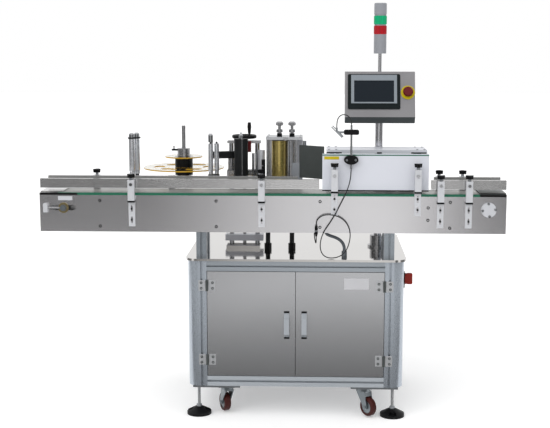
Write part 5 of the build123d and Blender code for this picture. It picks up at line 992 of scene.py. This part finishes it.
FRONT_CARDS, FRONT_TOP = -4.6, 1.6
FRONT_TONES = ((-6.0, 0.14), (-1.0, 0.16), (-0.40, 0.62), (0.60, 1.0), (1.05, 0.85), (1.40, 0.13),
               (6.0, 0.12))
FOREGROUND, FOREGROUND_SHARE = -3.1, 0.85
LEFT_CARD, RIGHT_CARD = -3.0, 3.2
SIDE_FRONT, SIDE_REAR, SIDE_TOP, SIDE_TONE = -4.4, 1.0, 2.6, 0.22
FLOOR_REACH = 2.4
FLOOR_TONES = ((FOREGROUND, 1.1), (-2.5, 0.92), (-1.9, 0.47), (-0.45, 0.07))
for number, ((x0, first), (x1, last)) in enumerate(zip(FRONT_TONES, FRONT_TONES[1:]), 1):
    card(f"front_card_{number}", upright(x0, FRONT_CARDS, x1, FRONT_CARDS, FRONT_TOP), "X", first, last)
    card(f"foreground_card_{number}",
         lying(x0 * FOREGROUND_SHARE, x1 * FOREGROUND_SHARE, FRONT_CARDS, FOREGROUND), "X", first, last)
card("left_card", upright(LEFT_CARD, SIDE_REAR, LEFT_CARD, SIDE_FRONT, SIDE_TOP), "Y", SIDE_TONE, SIDE_TONE)
card("right_card", upright(RIGHT_CARD, SIDE_FRONT, RIGHT_CARD, SIDE_REAR, SIDE_TOP), "Y",
     SIDE_TONE, SIDE_TONE)
# The floor cards darken towards the machine: a painted shadow of the machine on the floor, as reflections see
# it
for number, ((y0, first), (y1, last)) in enumerate(zip(FLOOR_TONES, FLOOR_TONES[1:]), 1):
    card(f"floor_card_{number}", lying(-FLOOR_REACH, FLOOR_REACH, y0, y1), "Y", first, last)

floor_mesh = bpy.data.meshes.new("floor")
floor_mesh.from_pydata([(-FLOOR_HALF, -FLOOR_HALF, 0), (FLOOR_HALF, -FLOOR_HALF, 0),
                        (FLOOR_HALF, FLOOR_HALF, 0), (-FLOOR_HALF, FLOOR_HALF, 0)], [], [(0, 1, 2, 3)])
floor_mesh.materials.append(pale_floor())
floor = new_object("floor", floor_mesh)


def white_room():
    """A world that is white to the camera, in glass and in metal, and softer as light."""
    world = bpy.data.worlds.new("studio")
    world.use_nodes = True
    nodes, links = world.node_tree.nodes, world.node_tree.links
    nodes.clear()
    path = nodes.new("ShaderNodeLightPath").outputs
    seen = path["Is Camera Ray"]
    for ray in ("Is Transmission Ray", "Is Glossy Ray"):
        either = nodes.new("ShaderNodeMath")
        either.operation = "MAXIMUM"
        links.new(seen, either.inputs[0])
        links.new(path[ray], either.inputs[1])
        seen = either.outputs[0]
    level = nodes.new("ShaderNodeMapRange")
    level.inputs["To Min"].default_value = AMBIENT
    links.new(seen, level.inputs["Value"])
    glow = nodes.new("ShaderNodeBackground")
    glow.inputs["Color"].default_value = WHITE
    links.new(level.outputs["Result"], glow.inputs["Strength"])
    links.new(glow.outputs[0], nodes.new("ShaderNodeOutputWorld").inputs["Surface"])
    return world


bpy.context.scene.world = white_room()

# Lamps: a place, a strength and a spread in degrees, each aimed at the machine's middle
LAMP_AIM = Vector((0.0, 0.0, 0.8))
LAMPS = (("key_lamp", (-2.2, -3.2, 3.6), 1.3, 60),
         ("fill_lamp", (3.0, -2.6, 2.2), 0.6, 70),
         ("top_lamp", (0.2, 0.6, 4.2), 0.8, 80))
for name, place, strength, spread in LAMPS:
    light = bpy.data.lights.new(name, "SUN")
    light.energy = strength
    light.angle = math.radians(spread)
    lamp = new_object(name, light)
    lamp.location = place
    lamp.visible_glossy = False
    lamp.rotation_euler = (LAMP_AIM - Vector(place)).to_track_quat("-Z", "Y").to_euler()

bpy.context.scene.view_settings.view_transform = "Standard"
